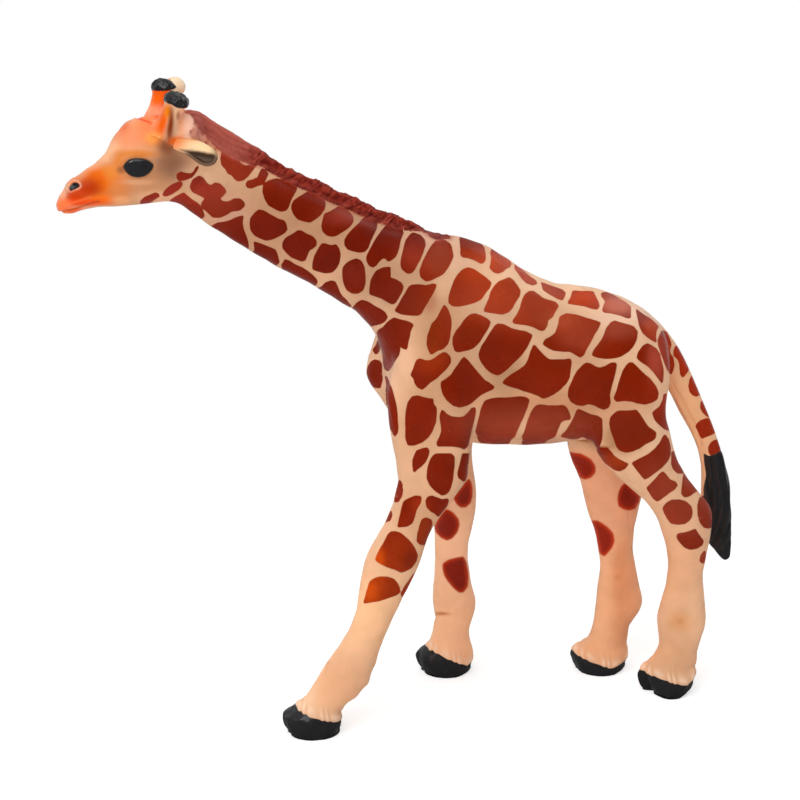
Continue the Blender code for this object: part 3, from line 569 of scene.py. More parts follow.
# The rust sprays hold painted highlights: the paler red dabs along the top of the neck, over the upper flank, the
# haunch and the rump stand for the overhead lamp's sheen.
spray(rust, outer, [
    (330, 236, 130, 52, "#701704", 1.0), (425, 256, 26, 18, "#8A2E20", 0.8), (345, 217, 30, 10, "#862C1E", 0.6),
    (222, 180, 34, 38, "#98341F", 0.95), (355, 275, 20, 12, "#822412", 0.7), (402, 300, 34, 32, "#6E1603", 0.9),
    (462, 372, 60, 30, "#781A02", 0.7), (270, 200, 30, 14, "#6C1602", 0.7), (530, 302, 110, 34, "#A23A1E", 1.0),
    (540, 264, 100, 20, "#BA421C", 1.0), (500, 352, 40, 26, "#7E1D04", 0.9), (560, 376, 70, 24, "#801F03", 0.9),
    (525, 424, 74, 20, "#9A3A22", 1.0), (430, 335, 16, 30, "#862A02", 0.8), (392, 575, 46, 46, "#A03006", 1.0),
    (376, 590, 14, 20, "#B43C04", 0.8), (410, 560, 8, 10, "#6E1A02", 0.5), (676, 500, 44, 50, "#983822", 0.95),
    (640, 432, 26, 20, "#7E2208", 0.8), (680, 390, 26, 60, "#A82C08", 0.9), (432, 362, 20, 15, "#A83408", 0.5),
    (178, 190, 40, 14, "#A03426", 0.9), (618, 305, 16, 10, "#D07058", 0.85), (655, 360, 9, 20, "#B24834", 0.8),
    (580, 338, 22, 14, "#A24028", 0.7), (560, 320, 22, 10, "#B04A2C", 0.7), (440, 256, 14, 20, "#983E28", 0.7),
    (378, 560, 7, 14, "#E05408", 0.8), (370, 592, 9, 10, "#D85208", 0.7), (345, 215, 14, 8, "#903626", 0.6),
    (420, 507, 9, 9, "#A83006", 0.6), (618, 328, 20, 12, "#A24630", 0.7), (584, 298, 14, 9, "#C43E0C", 0.8),
    (652, 328, 9, 12, "#B03C10", 0.7), (468, 332, 18, 18, "#7C2004", 0.7), (613, 461, 16, 9, "#A03810", 0.8),
    (424, 530, 9, 14, "#9C3810", 0.6), (694, 485, 10, 12, "#A83410", 0.8), (702, 557, 6, 8, "#A84028", 0.7)])


def painted_pvc(name, gloss=0.29):
    """Satin acrylic on PVC, a little waxy where the bare plastic lets light in. The marks that the skin
    carries say where each layer lies, so one recipe paints every part but the ears."""
    paint = bpy.data.materials.new(name)
    tree = empty_tree(paint)
    place = add(tree, "ShaderNodeTexCoord").outputs["Object"]
    bed = add(tree, "ShaderNodeAttribute", attribute_name="ground").outputs["Color"]
    red = add(tree, "ShaderNodeAttribute", attribute_name="rust").outputs["Color"]
    mark = {label: add(tree, "ShaderNodeAttribute", attribute_name=label).outputs["Fac"]
            for label in ("patch", "spot", "black", "mane", "hollow", "plate", "eye")}
    # Each pattern's grain in millimetres, its detail and roughness. The paint's real grit, about 0.1 mm,
    # is too fine for the picture and is drawn coarser.
    noise = {}
    for label, size, detail, rough in [
            ("edge waver", 2.381, 3.0, 0.5), ("haze", 6.25, 5.0, 0.5), ("cloud", 11.111, 4.0, 0.5),
            ("brush marks", 1.4286, 4.0, 0.65), ("dabs", 1.6129, 4.0, 0.5), ("grit", 0.66667, 2.0, 0.5),
            ("orange peel", 3.0303, 2.0, 0.5)]:
        noise[label] = add(tree, "ShaderNodeTexNoise", {"Vector": place, "Scale": 1000 / size, "Detail": detail,
                                                        "Roughness": rough}).outputs["Fac"]
    edge = add(tree, "ShaderNodeMath", {0: noise["edge waver"], 1: 0.24, 2: mark["patch"]},
               operation="MULTIPLY_ADD").outputs[0]
    fuzz = add(tree, "ShaderNodeMath", {0: noise["brush marks"], 1: 1.5, 2: mark["mane"]},
               operation="MULTIPLY_ADD").outputs[0]
    # Where each layer covers: the mark that it follows, where it starts and is full, and how much it hides.
    cover = {}
    for label, value, low, high, most in [
            ("shade in dents", mark["hollow"], 0.12, 0.9, 0.5), ("light on rises", mark["hollow"], -0.2, -0.9, 0.25),
            ("masked edge", edge, -0.16, 0.0, 1.0), ("free edge", mark["spot"], -0.45, 0.1, 1.0),
            ("spot core", mark["spot"], -0.1, 1.1, 1.0), ("mist", mark["patch"], -0.6, -0.1, 0.07),
            ("overspray", fuzz, -0.35, 0.85, 0.55), ("hair", fuzz, 0.62, 0.92, 1.0),
            ("dark dabs", noise["dabs"], 0.42, 0.68, 1.0), ("hair's brim", mark["mane"], 0.95, 0.2, 0.5),
            ("black", mark["black"], -0.1, 0.12, 1.0)]:
        cover[label] = add(tree, "ShaderNodeMapRange", {"Value": value, "From Min": low, "From Max": high,
                                                        "To Max": most}, interpolation_type="SMOOTHSTEP").outputs[0]
    # Slow drifts of shade and gloss, from the clouds' low and high.
    drift = {}
    for label, value, low, high in [("ground", noise["haze"], 0.94, 1.05), ("rust", noise["cloud"], 0.84, 1.16),
                                    ("gloss", noise["haze"], gloss - 0.08, gloss + 0.10)]:
        drift[label] = add(tree, "ShaderNodeMapRange", {"Value": value, "From Min": 0.3, "From Max": 0.7,
                                                        "To Min": low, "To Max": high}).outputs[0]

    # The peach ground, with painted shade in the dents, a painted highlight on the rises, and a mist of rust round
    # the patches.
    bed = add(tree, "ShaderNodeMix", {0: cover["shade in dents"], 6: bed, 7: linear("#B4683A")},
              data_type="RGBA").outputs[2]
    bed = add(tree, "ShaderNodeMix", {0: cover["light on rises"], 6: bed, 7: linear("#FBDCC0")},
              data_type="RGBA").outputs[2]
    bed = add(tree, "ShaderNodeHueSaturation", {"Color": bed, "Value": drift["ground"]}).outputs["Color"]
    bed = add(tree, "ShaderNodeMix", {0: cover["mist"], 6: bed, 7: linear("#B4603C")}, data_type="RGBA").outputs[2]
    # The rust patches, the soft spots of the legs with their redder rims, and a few missed specks.
    rim = add(tree, "ShaderNodeMix", {0: cover["spot core"], 6: linear("#BC3614"), 7: linear("#8E2414")},
              data_type="RGBA").outputs[2]
    is_spot = add(tree, "ShaderNodeMath", {0: mark["spot"], 1: mark["patch"]}, operation="GREATER_THAN").outputs[0]
    red = add(tree, "ShaderNodeMix", {0: is_spot, 6: red, 7: rim}, data_type="RGBA").outputs[2]
    red = add(tree, "ShaderNodeHueSaturation", {"Color": red, "Value": drift["rust"]}).outputs["Color"]
    cells = add(tree, "ShaderNodeTexVoronoi", {"Vector": place, "Scale": 1000 / 3.0303, "Randomness": 1.0})
    chance = add(tree, "ShaderNodeSeparateColor", {0: cells.outputs["Color"]}).outputs[0]
    few = add(tree, "ShaderNodeMapRange", {"Value": chance, "From Min": 0.86, "From Max": 1.0,
                                           "To Max": 0.09}).outputs[0]
    speck = add(tree, "ShaderNodeMath", {0: cells.outputs["Distance"], 1: few}, operation="LESS_THAN").outputs[0]
    speck = add(tree, "ShaderNodeMath", {0: speck, 1: 0.42}, operation="MULTIPLY").outputs[0]
    red = add(tree, "ShaderNodeMix", {0: speck, 6: red, 7: linear("#D8906C")}, data_type="RGBA").outputs[2]
    covered = add(tree, "ShaderNodeMath", {0: cover["masked edge"], 1: cover["free edge"]},
                  operation="MAXIMUM").outputs[0]
    coat = add(tree, "ShaderNodeMix", {0: covered, 6: bed, 7: red}, data_type="RGBA").outputs[2]
    coat = add(tree, "ShaderNodeMix", {0: cover["overspray"], 6: coat, 7: linear("#B04434")},
               data_type="RGBA").outputs[2]
    # The mane's paint: dull pink on the plate, red on the ridge, and near black in its dents as painted shade.
    in_dents = add(tree, "ShaderNodeMath", {0: mark["plate"], 1: -0.6, 2: 1.0}, operation="MULTIPLY_ADD").outputs[0]
    dents = add(tree, "ShaderNodeMapRange", {"Value": mark["hollow"], "From Min": -0.35, "From Max": 0.45,
                                             "To Max": in_dents}).outputs[0]
    in_dabs = add(tree, "ShaderNodeMath", {0: mark["plate"], 1: -0.55, 2: 0.75}, operation="MULTIPLY_ADD").outputs[0]
    dabs = add(tree, "ShaderNodeMath", {0: cover["dark dabs"], 1: in_dabs}, operation="MULTIPLY").outputs[0]
    hair = add(tree, "ShaderNodeMix", {0: mark["plate"], 6: linear("#9C3626"), 7: linear("#B65C4E")},
               data_type="RGBA").outputs[2]
    hair = add(tree, "ShaderNodeMix", {0: dabs, 6: hair, 7: linear("#641008")}, data_type="RGBA").outputs[2]
    hair = add(tree, "ShaderNodeMix", {0: cover["hair's brim"], 6: hair, 7: linear("#B45444")},
               data_type="RGBA").outputs[2]
    hair = add(tree, "ShaderNodeMix", {0: dents, 6: hair, 7: linear("#5A0E08")}, data_type="RGBA").outputs[2]
    coat = add(tree, "ShaderNodeMix", {0: cover["hair"], 6: coat, 7: hair}, data_type="RGBA").outputs[2]
    # Black enamel, brushed on last, glossier than the spray. The eyes are wet-looking.
    coat = add(tree, "ShaderNodeMix", {0: cover["black"], 6: coat, 7: linear("#252527")}, data_type="RGBA").outputs[2]
    rough = add(tree, "ShaderNodeMapRange", {"Value": cover["black"], "To Min": drift["gloss"], "To Max": 0.22})
    rough = add(tree, "ShaderNodeMapRange", {"Value": mark["eye"], "From Min": -0.1, "From Max": 0.1,
                                             "To Min": rough.outputs[0], "To Max": 0.12})
    polish = add(tree, "ShaderNodeMapRange", {"Value": cover["black"], "To Min": 0.10, "To Max": 0.6})
    bump = add(tree, "ShaderNodeBump", {"Height": noise["grit"], "Strength": 0.10, "Distance": 0.0002})
    bump = add(tree, "ShaderNodeBump", {"Height": noise["orange peel"], "Strength": 0.22, "Distance": 0.0004,
                                        "Normal": bump.outputs[0]})
    surface = add(tree, "ShaderNodeBsdfPrincipled", {
        "Base Color": coat, "Roughness": rough.outputs[0], "IOR": 1.42, "Specular IOR Level": polish.outputs[0],
        "Normal": bump.outputs[0], "Sheen Weight": 0.07, "Sheen Roughness": 0.4, "Subsurface Weight": 0.12,
        "Subsurface Radius": (0.0016, 0.0007, 0.0004), "Subsurface Scale": 1.0})
    add(tree, "ShaderNodeOutputMaterial", {"Surface": surface.outputs[0]})
    return paint


slots = {"torso": "coat_paint", "neck": "coat_paint"}
finishes = {"coat_paint": painted_pvc("sprayed coat on satin PVC")}


# ------------------------------------------------------------------------------ legs and hooves
# Each leg is moulded with its hoof, and pegged and glued up into the trunk. The hoof is cloven, under a
# fringe of moulded hair, and dipped in gloss black. The outer side has the coat's patches, and the inner
# side a few soft-edged spots, sprayed without a mask.

leg_patches = [
    [412,397, 418,396, 424,398, 430,399, 433,399, 433,404, 436,408, 436,415, 435,423, 432,431, 428,437, 422,442,
     414,445, 408,445, 406,438, 406,425, 406,412, 408,403],
    [385,377, 387,377, 389,382, 392,390, 394,398, 396,408, 397,418, 398,426, 397,433, 395,436, 392,431, 388,422,
     385,412, 383,403, 382,393, 383,384],
    [442,410, 446,414, 451,417, 458,418, 464,417, 468,413, 472,408, 475,408, 475,414, 473,422, 471,431, 470,440,
     468,446, 465,449, 460,447, 452,446, 444,446, 438,446, 437,443, 440,437, 442,431, 441,423, 440,416],
    [561,436, 567,430, 572,422, 576,412, 578,409, 583,411, 590,414, 598,416, 602,419, 602,430, 601,441, 599,447,
     592,448, 587,444, 582,440, 577,442, 570,442, 564,439],
    [614,414, 618,411, 625,411, 632,411, 636,410, 640,415, 645,423, 649,428, 654,431, 656,433, 655,438, 651,441,
     645,444, 640,448, 633,451, 626,452, 620,450, 617,446, 614,438, 611,430, 610,423, 611,417],
    [664,394, 670,396, 672,412, 674,430, 668,430, 664,428, 659,424, 655,419, 653,413, 656,410, 660,407, 663,401],
    [592,449, 600,448, 608,448, 611,451, 614,456, 619,460, 625,463, 628,464, 625,468, 620,471, 615,470, 609,466,
     603,461, 598,457, 592,452],
    [632,463, 640,459, 648,455, 655,449, 660,443, 663,437, 665,435, 668,440, 670,447, 670,454, 668,460, 663,466,
     657,471, 650,476, 645,479, 643,477, 640,473, 636,468],
    [672,452, 676,452, 680,460, 684,468, 683,473, 678,473, 674,469, 672,464, 672,458],
    [684,474, 687,478, 693,483, 699,489, 693,493, 689,496, 685,497, 682,494, 682,488, 683,481],
    [663,472, 666,475, 670,480, 675,482, 677,485, 674,489, 668,493, 662,498, 657,501, 653,498, 650,493, 647,488,
     651,484, 656,479, 660,474],
    [663,508, 667,503, 672,500, 679,500, 686,502, 691,507, 692,513, 690,519, 685,523, 678,524, 671,523, 667,518,
     664,512],
    [700,498, 704,496, 708,499, 711,504, 713,511, 714,519, 713,526, 709,528, 704,527, 700,522, 698,514, 698,505],
    [678,534, 684,533, 690,531, 695,529, 697,533, 700,537, 703,541, 702,545, 697,548, 691,549, 685,547, 680,542,
     677,537],
    [705,551, 705,557, 703,563, 700,561, 701,556],
    [417,451, 422,449, 427,448, 429,451, 428,456, 425,462, 421,466, 417,469, 414,472, 413,466, 413,460, 415,455],
    [436,454, 444,454, 451,454, 454,457, 454,466, 453,476, 451,485, 449,491, 446,494, 442,495, 436,491, 430,485,
     427,478, 428,469, 430,461, 433,456],
    [463,454, 469,454, 474,453, 474,458, 472,466, 469,475, 465,480, 463,481, 459,478, 458,474, 460,466, 462,459],
    [400,480, 402,485, 403,490, 402,496, 399,501, 395,502, 396,496, 398,488],
    [404,502, 409,499, 415,496, 421,497, 420,503, 416,510, 414,517, 412,523, 407,526, 398,527, 399,522, 401,514],
    [428,497, 432,496, 437,498, 442,500, 448,499, 446,506, 442,511, 438,516, 435,513, 431,511, 427,507, 426,501],
    [422,520, 426,518, 431,520, 432,523, 430,530, 427,538, 425,545, 420,544, 417,541, 418,533, 420,526],
    [391,532, 396,532, 400,533, 406,538, 411,543, 415,549, 417,555, 416,561, 411,568, 405,571, 401,572, 395,569,
     389,567, 382,564, 376,560, 378,555, 381,549, 385,542, 388,535],
    [370,582, 374,579, 380,577, 387,577, 393,579, 397,583, 399,587, 400,592, 396,595, 390,597, 384,599, 377,601,
     370,602, 364,603, 366,597, 368,589],
    [417,572, 415,578, 411,585, 407,591, 403,597, 401,594, 404,588, 409,581, 413,575],
    [391,511, 392,515, 390,520, 387,521, 384,522]]
front_spots = [
    [378,340, 376,346, 373,350, 376,354, 379,351, 380,345],
    [371,362, 368,367, 367,374, 369,382, 374,387, 380,388, 382,380, 382,372, 382,365, 380,361, 375,360],
    [469,479, 471,484, 472,490, 472,497, 470,503, 466,507, 461,507, 457,504, 454,498, 458,492, 463,486],
    [444,510, 448,510, 453,513, 458,519, 459,525, 457,532, 452,538, 447,540, 441,537, 436,532, 434,527, 438,520,
     441,514],
    [443,564, 449,560, 456,558, 463,557, 466,562, 467,570, 468,580, 467,587, 463,592, 459,592, 454,588, 449,582,
     445,576, 443,570]]
rear_spots = [
    [567,452, 573,453, 580,454, 586,457, 591,460, 595,466, 595,472, 591,477, 585,479, 580,477, 577,472, 572,463,
     568,456],
    [626,483, 630,487, 635,492, 640,497, 638,503, 635,508, 630,510, 624,509, 619,506, 618,499, 619,492, 622,486],
    [592,521, 597,521, 602,524, 608,528, 613,534, 614,541, 612,547, 608,552, 604,556, 600,553, 598,544, 596,534]]
patch = np.maximum(patch, painted(outer, leg_patches) - bare_side)
brisket = (trunk | made_of("front_right_leg")) & (y > 1.5) & (direct[:, 0] < 386) & (z > 66) & (z < 98)
patch[brisket] = painted(direct[brisket], front_spots[:2])
front_part = (is_leg & (x < 35)) | (trunk & (x < 20))
spot = np.where(front_part, painted(inner, front_spots[2:]), painted(inner, rear_spots))
near_leg = (y < 0) & is_leg
spot -= np.where(near_leg, 6.0 * np.maximum(0, turned + 0.45), 4.0 * np.maximum(0, turned - 0.25))
spot[~(is_leg | (trunk & (z < 72)))] = -far_out
# The thin brown line in the far knee's crease is painted shade.
spray(ground, inner, [
    (455, 545, 40, 60, "#FFC49C", 1.0), (452, 635, 40, 40, "#FFC094", 1.0), (440, 614, 10, 1.8, "#C87840", 0.9),
    (598, 500, 50, 60, "#EEAC84", 1.0), (605, 600, 40, 60, "#F6B68A", 1.0), (620, 575, 8, 34, "#DE8E5E", 0.6),
    (618, 577, 4, 3, "#C87A44", 0.5), (590, 650, 20, 12, "#F2B284", 0.8), (624, 600, 16, 70, "#E0986A", 0.6)],
    is_leg * step(0.3, -0.3, turned))


def press(height, where=1.0):
    """Moves the skin along its normals by heights in millimetres."""
    global points
    points = points + normals * (height * where)[:, None]


def dab(flat, passes, where):
    """Soft pushes of the modelling tool: the photograph's x and y, half width and height, and millimetres."""
    total = np.zeros(len(points))
    for px, py, wide, high, depth in passes:
        total += depth * np.exp(-oval(flat, px, py, wide, high))
    press(total, where)


def line_of(flat, line, where, width):
    """How strongly a drawn line acts on the skin; its width is in pixels of the photograph."""
    share = np.zeros(len(points))
    chosen = np.flatnonzero(where > 0)
    share[chosen] = np.exp(-(to_line(flat[chosen], line) / width) ** 2)
    return share * where


def score(flat, where, lines):
    """Draws lines with the modelling tool: millimetres, width in pixels, and corners in the photograph."""
    for depth, width, line in lines:
        press(depth * line_of(flat, line, where, width))


# For each hoof: where its front is, the black's height there and its fall to the back, how far the heel
# is lifted, how far the near toe is spread, and how far it is set back; all but the fall in millimetres.
hoof = np.full(len(points), -9.0)
for name, front, height, fall, lift, spread, back_set in [
        ("front_left_leg", -33.3, 7.2, -0.32, 0.6, 0.4, 0.45), ("front_right_leg", 9.3, 7.2, -0.48, 1.2, 0.8, 0.5),
        ("rear_left_leg", 60.7, 5.8, -0.25, 3.0, 1.2, 2.2), ("rear_right_leg", 46.1, 5.4, -0.36, 1.6, 1.2, 0.3)]:
    chosen = np.flatnonzero(made_of(name))
    place = points[chosen]
    low = 1 - step(3.5, 9.0, place[:, 2])
    foot = place[place[:, 2] < 4.0]
    middle, half = (foot.min(axis=0) + foot.max(axis=0)) / 2, (foot.max(axis=0) - foot.min(axis=0)) / 2
    share = (place[:, :2] - middle[:2]) / half[:2]
    size = np.linalg.norm(share, axis=1)
    # The sole's rim is crisp and the toe bulges forward over it.
    want = np.where(size > 0.6, np.maximum(size, 1.0) * 0.5 + 0.5 * 1.03, size)
    want = size + (np.minimum(want, 1.06) - size) * step(0.55, 0.9, size)
    place[:, :2] += share * ((want / np.maximum(size, 1e-6) - 1) * low)[:, None] * half[:2]
    place[:, :2] -= share * (0.085 * (1 - step(0.0, 2.2, place[:, 2])) * step(0.6, 1.0, size))[:, None] * half[:2]
    place[:, 0] -= 1.2 * np.exp(-((place[:, 2] - 4.2) / 2.6) ** 2) * step(-0.3, -0.9, share[:, 0])
    place[:, 2] -= 0.45 * (1 - step(0.8, 5.0, place[:, 2]))
    place[:, 1] -= spread * step(0.1, -0.9, share[:, 1]) * (1 - step(3.0, 7.0, place[:, 2]))
    heel = step(-0.2, 1.05, share[:, 0])
    place[:, 2] += lift * heel * (1 - step(2.0, 9.0, place[:, 2]))
    edge = np.maximum(height + fall * np.maximum(0, place[:, 0] - front), lift * heel + 2.0)
    hoof[chosen] = edge - place[:, 2]
    points[chosen] = place
    # The cleft between the toes runs up the hoof's front and under it.
    cleft = np.exp(-((place[:, 1] - middle[1]) / 0.7) ** 2) * (1 - step(-0.8, -0.45, share[:, 0]))
    near_toe = step(0.3, -0.15, share[:, 1]) * step(-0.1, -0.9, share[:, 0])
    points[chosen, 0] += back_set * (0.55 * cleft + near_toe) * (1 - step(3.5, 7.5, place[:, 2]))
normals = facing()

# The fringe: strands of hair that swell over the hoof's edge, with pale tips, and a lumpy hoof wall.
across = direct[:, 0]
fringe = np.exp(-((hoof + 0.55) / 0.55) ** 2)
strands = 0.5 + 0.5 * np.sin(across * 0.85 + 1.9 * np.sin(across * 0.29))
lumpy = (np.sin(1.3 * x + 0.9) * np.sin(1.1 * y + 0.4) * np.sin(1.2 * z)
         + 0.5 * np.sin(2.3 * x + 1.7 * z) * np.sin(1.9 * y))
press(-0.22 * step(-0.12, 0.28, hoof) + fringe * (0.08 + 0.16 * strands)
      + 0.2 * (strands - 0.5) * np.exp(-((hoof + 1.8) / 1.5) ** 2) + 0.13 * lumpy * step(0.0, 0.8, hoof), is_leg)
tint(ground, "#FFE0C4", 0.55 * is_leg * strands * np.exp(-((hoof + 0.9) / 0.9) ** 2))
hoof -= 0.22 * strands * (hoof > -2)
black = np.where(is_leg, np.maximum(hoof, -9.0), -9.0)
# Knees, tendons and fetlocks, then the creases of the far knee and the tendons' edges.
dab(direct, [
    (368, 683, 8, 6, 0.5), (348, 702, 7, 5, -0.35), (352, 640, 5, 30, 0.15), (330, 668, 5, 20, 0.15),
    (383, 555, 14, 16, 0.35), (398, 548, 10, 12, 0.15), (690, 535, 10, 14, 0.25), (697, 600, 5, 16, 0.3),
    (681, 622, 4, 4, -0.25), (663, 612, 6, 14, 0.2), (695, 652, 4, 6, -0.3), (653, 662, 6, 5, 0.3),
    (676, 668, 14, 5, 0.25), (434, 598, 6, 10, 0.25), (470, 603, 6, 10, 0.25), (434, 617, 4, 3, -0.3),
    (637, 597, 6, 12, 0.3), (628, 625, 4, 6, -0.25), (600, 655, 14, 5, 0.2), (445, 640, 3, 14, -0.12),
    (455, 645, 4, 14, 0.12), (405, 500, 10, 24, 0.2), (445, 480, 12, 20, 0.12)], is_leg)
score(direct, is_leg * step(0.15, -0.25, normals[:, 1]), [
    (-0.28, 1.3, [(431, 611), (438, 613), (447, 615)]), (-0.15, 1.0, [(628, 470), (629, 500), (630, 540)]),
    (0.12, 2.0, [(400, 600), (386, 640), (375, 665)])])
slots.update(dict.fromkeys(legs, "leg_paint"))
finishes["leg_paint"] = painted_pvc("sprayed legs on satin PVC")


# ------------------------------------------------------------------------------ trunk's forms
# The trunk is one heavy moulding with the shoulders and haunches on it. Over the smooth skin run the
# sculptor's uneven hand, the low forms of shoulder and haunch, the fold before the thigh, and the
# mould's faint parting line down the chest.

uneven = (np.sin(0.42 * x + 0.9 * np.sin(0.31 * z)) * np.sin(0.47 * z + 0.7)
          + 0.6 * np.sin(0.83 * x - 0.5 * z + 1.2 * np.sin(0.4 * y))
          + 0.5 * np.sin(1.1 * z + 0.6 * x) * np.sin(0.9 * y + 0.5))
press(0.075 * uneven, made_of("torso", "neck", *legs) * step(6, 14, z))
dab(outer, [
    (455, 350, 26, 50, 0.5), (405, 345, 12, 34, -0.25), (600, 385, 34, 40, 0.45), (640, 345, 20, 20, 0.2),
    (590, 432, 16, 10, -0.4), (604, 450, 10, 6, 0.35), (470, 440, 8, 10, -0.25), (430, 300, 10, 26, -0.15),
    (648, 420, 10, 20, -0.15), (520, 300, 40, 20, 0.15)], trunk | is_leg)
score(outer, (trunk | is_leg).astype(float), [
    (-0.3, 1.4, [(586, 446), (594, 448), (604, 447), (614, 446)]),
    (0.14, 1.4, [(384, 372), (389, 400), (395, 430), (401, 452), (402, 475), (395, 500)])])


# ------------------------------------------------------------------------------ head
# The head is one moulding with the muzzle, jaw and brow, pegged on the neck and socketed for horns and
# ears. It is carved crisper than the body, with domed eyes, flared nostrils, a closed mouth and a seam
# over the brow, and airbrushed orange round the muzzle and tan over the cheeks.

head = made_of("head").astype(float)
# The horns' skin is drawn down and forward first, as the figure's horns are short and lean.
for name, share in [("left_ossicone", 1.0), ("right_ossicone", 0.45)]:
    chosen = made_of(name)
    place = points[chosen]
    lowered = 0.115 * np.maximum(0, place[:, 2] - 152) * share
    place[:, 2] -= lowered * (1 if name == "left_ossicone" else step(-55.5, -58.5, place[:, 0]))
    place[:, 0] += 0.2 * np.maximum(0, -58.2 - place[:, 0]) * step(152, 157, place[:, 2]) * share
    points[chosen] = place
normals = facing()
direct, face = in_photo(points), in_photo(folded)
dab(face, [
    (104, 152, 13, 10, -0.7), (92, 163, 10, 8, -0.6), (80, 173, 9, 7, -0.35), (126, 122, 8, 6, 0.25),
    (134, 116, 3, 2.5, 0.5), (100, 211, 16, 5, -0.7), (84, 215, 12, 5, -0.6), (64, 193, 3, 4, -0.35),
    (60, 208, 5, 4, 0.25), (76, 192, 8, 5, 0.2), (140, 152, 16, 5, 0.35), (120, 175, 8, 8, -0.25),
    (150, 178, 14, 8, 0.25), (172, 178, 9, 8, 0.25), (168, 158, 7, 6, -0.2), (128, 196, 20, 5, 0.2)], head)
on_head = np.flatnonzero(head > 0)
eye, nostril = np.full(len(points), -9.0), np.full(len(points), -9.0)
eye[on_head] = within(face[on_head], rounded([
    (122.5, 166.5), (125, 162.5), (129, 159.3), (134, 158), (140, 158), (146, 159), (151, 161.8), (154, 165),
    (152.5, 169), (149, 173), (144, 176.2), (138, 177.6), (132, 176.8), (127.5, 174), (124.5, 170.5)]))
nostril[on_head] = within(face[on_head], rounded([
    (70, 186), (72, 183), (75, 182), (78, 183), (80, 186), (78, 188), (74, 190), (70.5, 191.5), (69, 188)]))
# The eye is a dome between lids, and the nostril a pit with a raised rim.
dome = 0.95 * np.sqrt(np.clip(1 - oval(face, 138.5, 167.8, 16.5, 10.6), 0, 1)) * step(-0.1, 0.3, eye)
press(dome - 0.16 * np.exp(-((eye + 0.05) / 0.22) ** 2) + 0.13 * np.exp(-((eye + 0.75) / 0.5) ** 2), head)
press(-0.75 * step(-0.05, 0.5, nostril) + 0.24 * np.exp(-((nostril + 0.4) / 0.32) ** 2), head)
lips = [(61, 212), (68, 211.5), (75, 210), (85, 206.5), (92, 204), (99, 202)]
brow_seam = line_of(face, [(134, 116.5), (140, 118.5), (147, 121), (152, 123.5)], head, 1.2)
ear_seam = line_of(face, [(198, 167), (195, 173), (191, 177)], head, 1.0)
score(face, head, [
    (-0.42, 1.1, lips), (0.06, 2.2, [(60, 207), (70, 205), (80, 202), (90, 198.5), (97, 198)]),
    (0.14, 1.8, [(72, 213), (84, 209.5), (96, 206)]), (-0.12, 1.2, [(118, 132), (123, 129), (130, 128)])])
press(-0.22 * brow_seam - 0.15 * ear_seam)
dab(direct, [(150, 88, 7, 12, 0.55)], made_of("right_ossicone"))

# The airbrush goes over the horns too; their inner sides, towards each other, are sprayed apart.
horns = made_of("left_ossicone", "right_ossicone")
upper = head + horns
spray(ground, face, [
    (140, 180, 46, 30, "#CC8E62", 1.0), (172, 163, 20, 18, "#936449", 1.0), (192, 178, 14, 12, "#CFA080", 0.8),
    (158, 197, 26, 6, "#EDB28A", 0.8), (130, 136, 28, 17, "#EB9064", 1.0), (120, 126, 10, 8, "#EC7038", 0.8),
    (105, 150, 14, 12, "#F4B68A", 1.0), (86, 166, 12, 9, "#EDAE88", 1.0), (119, 160, 9, 10, "#DA7E3A", 0.9),
    (137, 154, 22, 4.5, "#DA8036", 0.95), (153, 144, 11, 6, "#D8905A", 0.9), (100, 184, 26, 20, "#E87210", 1.0),
    (118, 190, 10, 12, "#DA8248", 0.8), (108, 172, 10, 8, "#E08534", 0.9), (96, 177, 10, 9, "#E26406", 1.0),
    (88, 188, 16, 11, "#B83600", 1.0), (76, 197, 16, 8, "#C83800", 1.0), (102, 200, 16, 5, "#FC7204", 0.9),
    (121, 200, 10, 5, "#F6AC74", 0.8), (84, 203, 22, 4.5, "#F24A00", 0.9), (70, 181, 9, 5, "#EC8048", 0.9),
    (61, 191, 5, 9, "#F8A67C", 0.95), (61, 205, 9, 6, "#FF7438", 0.95), (72, 211, 16, 4, "#F4560E", 0.9),
    (121, 170, 4.5, 4, "#9A5A34", 0.8), (138, 182, 16, 3, "#E0A47C", 0.7)], upper)
# On the near horn the dark brown strip down its middle is painted shade and the pale strip behind it a painted
# highlight; the pale orange dab below that horn's flared root is painted light over the flare's shade.
spray(ground, face, [
    (148, 124, 13, 18, "#F4844E", 1.0), (160, 121, 6, 20, "#E85C08", 1.0), (165, 108, 5, 9, "#EE7C00", 1.0),
    (154, 138, 9, 6, "#FFA04A", 0.95), (169.5, 124, 3.8, 22, "#883608", 1.0), (167, 147, 9, 8, "#8A4E32", 1.0),
    (181.5, 122, 4.4, 20, "#F4AA82", 1.0), (178, 113, 2.6, 5, "#A85C3C", 0.7),
    (190, 123, 6, 16, "#FFC6AC", 1.0), (199, 131, 6, 8, "#EFA894", 0.9), (177, 141, 9, 5, "#EC6410", 1.0)],
    upper * np.where(z > 150, step(-0.45, 0.1, turned), 1.0))
inside = upper * step(0.05, -0.4, turned) * step(149, 153, z)
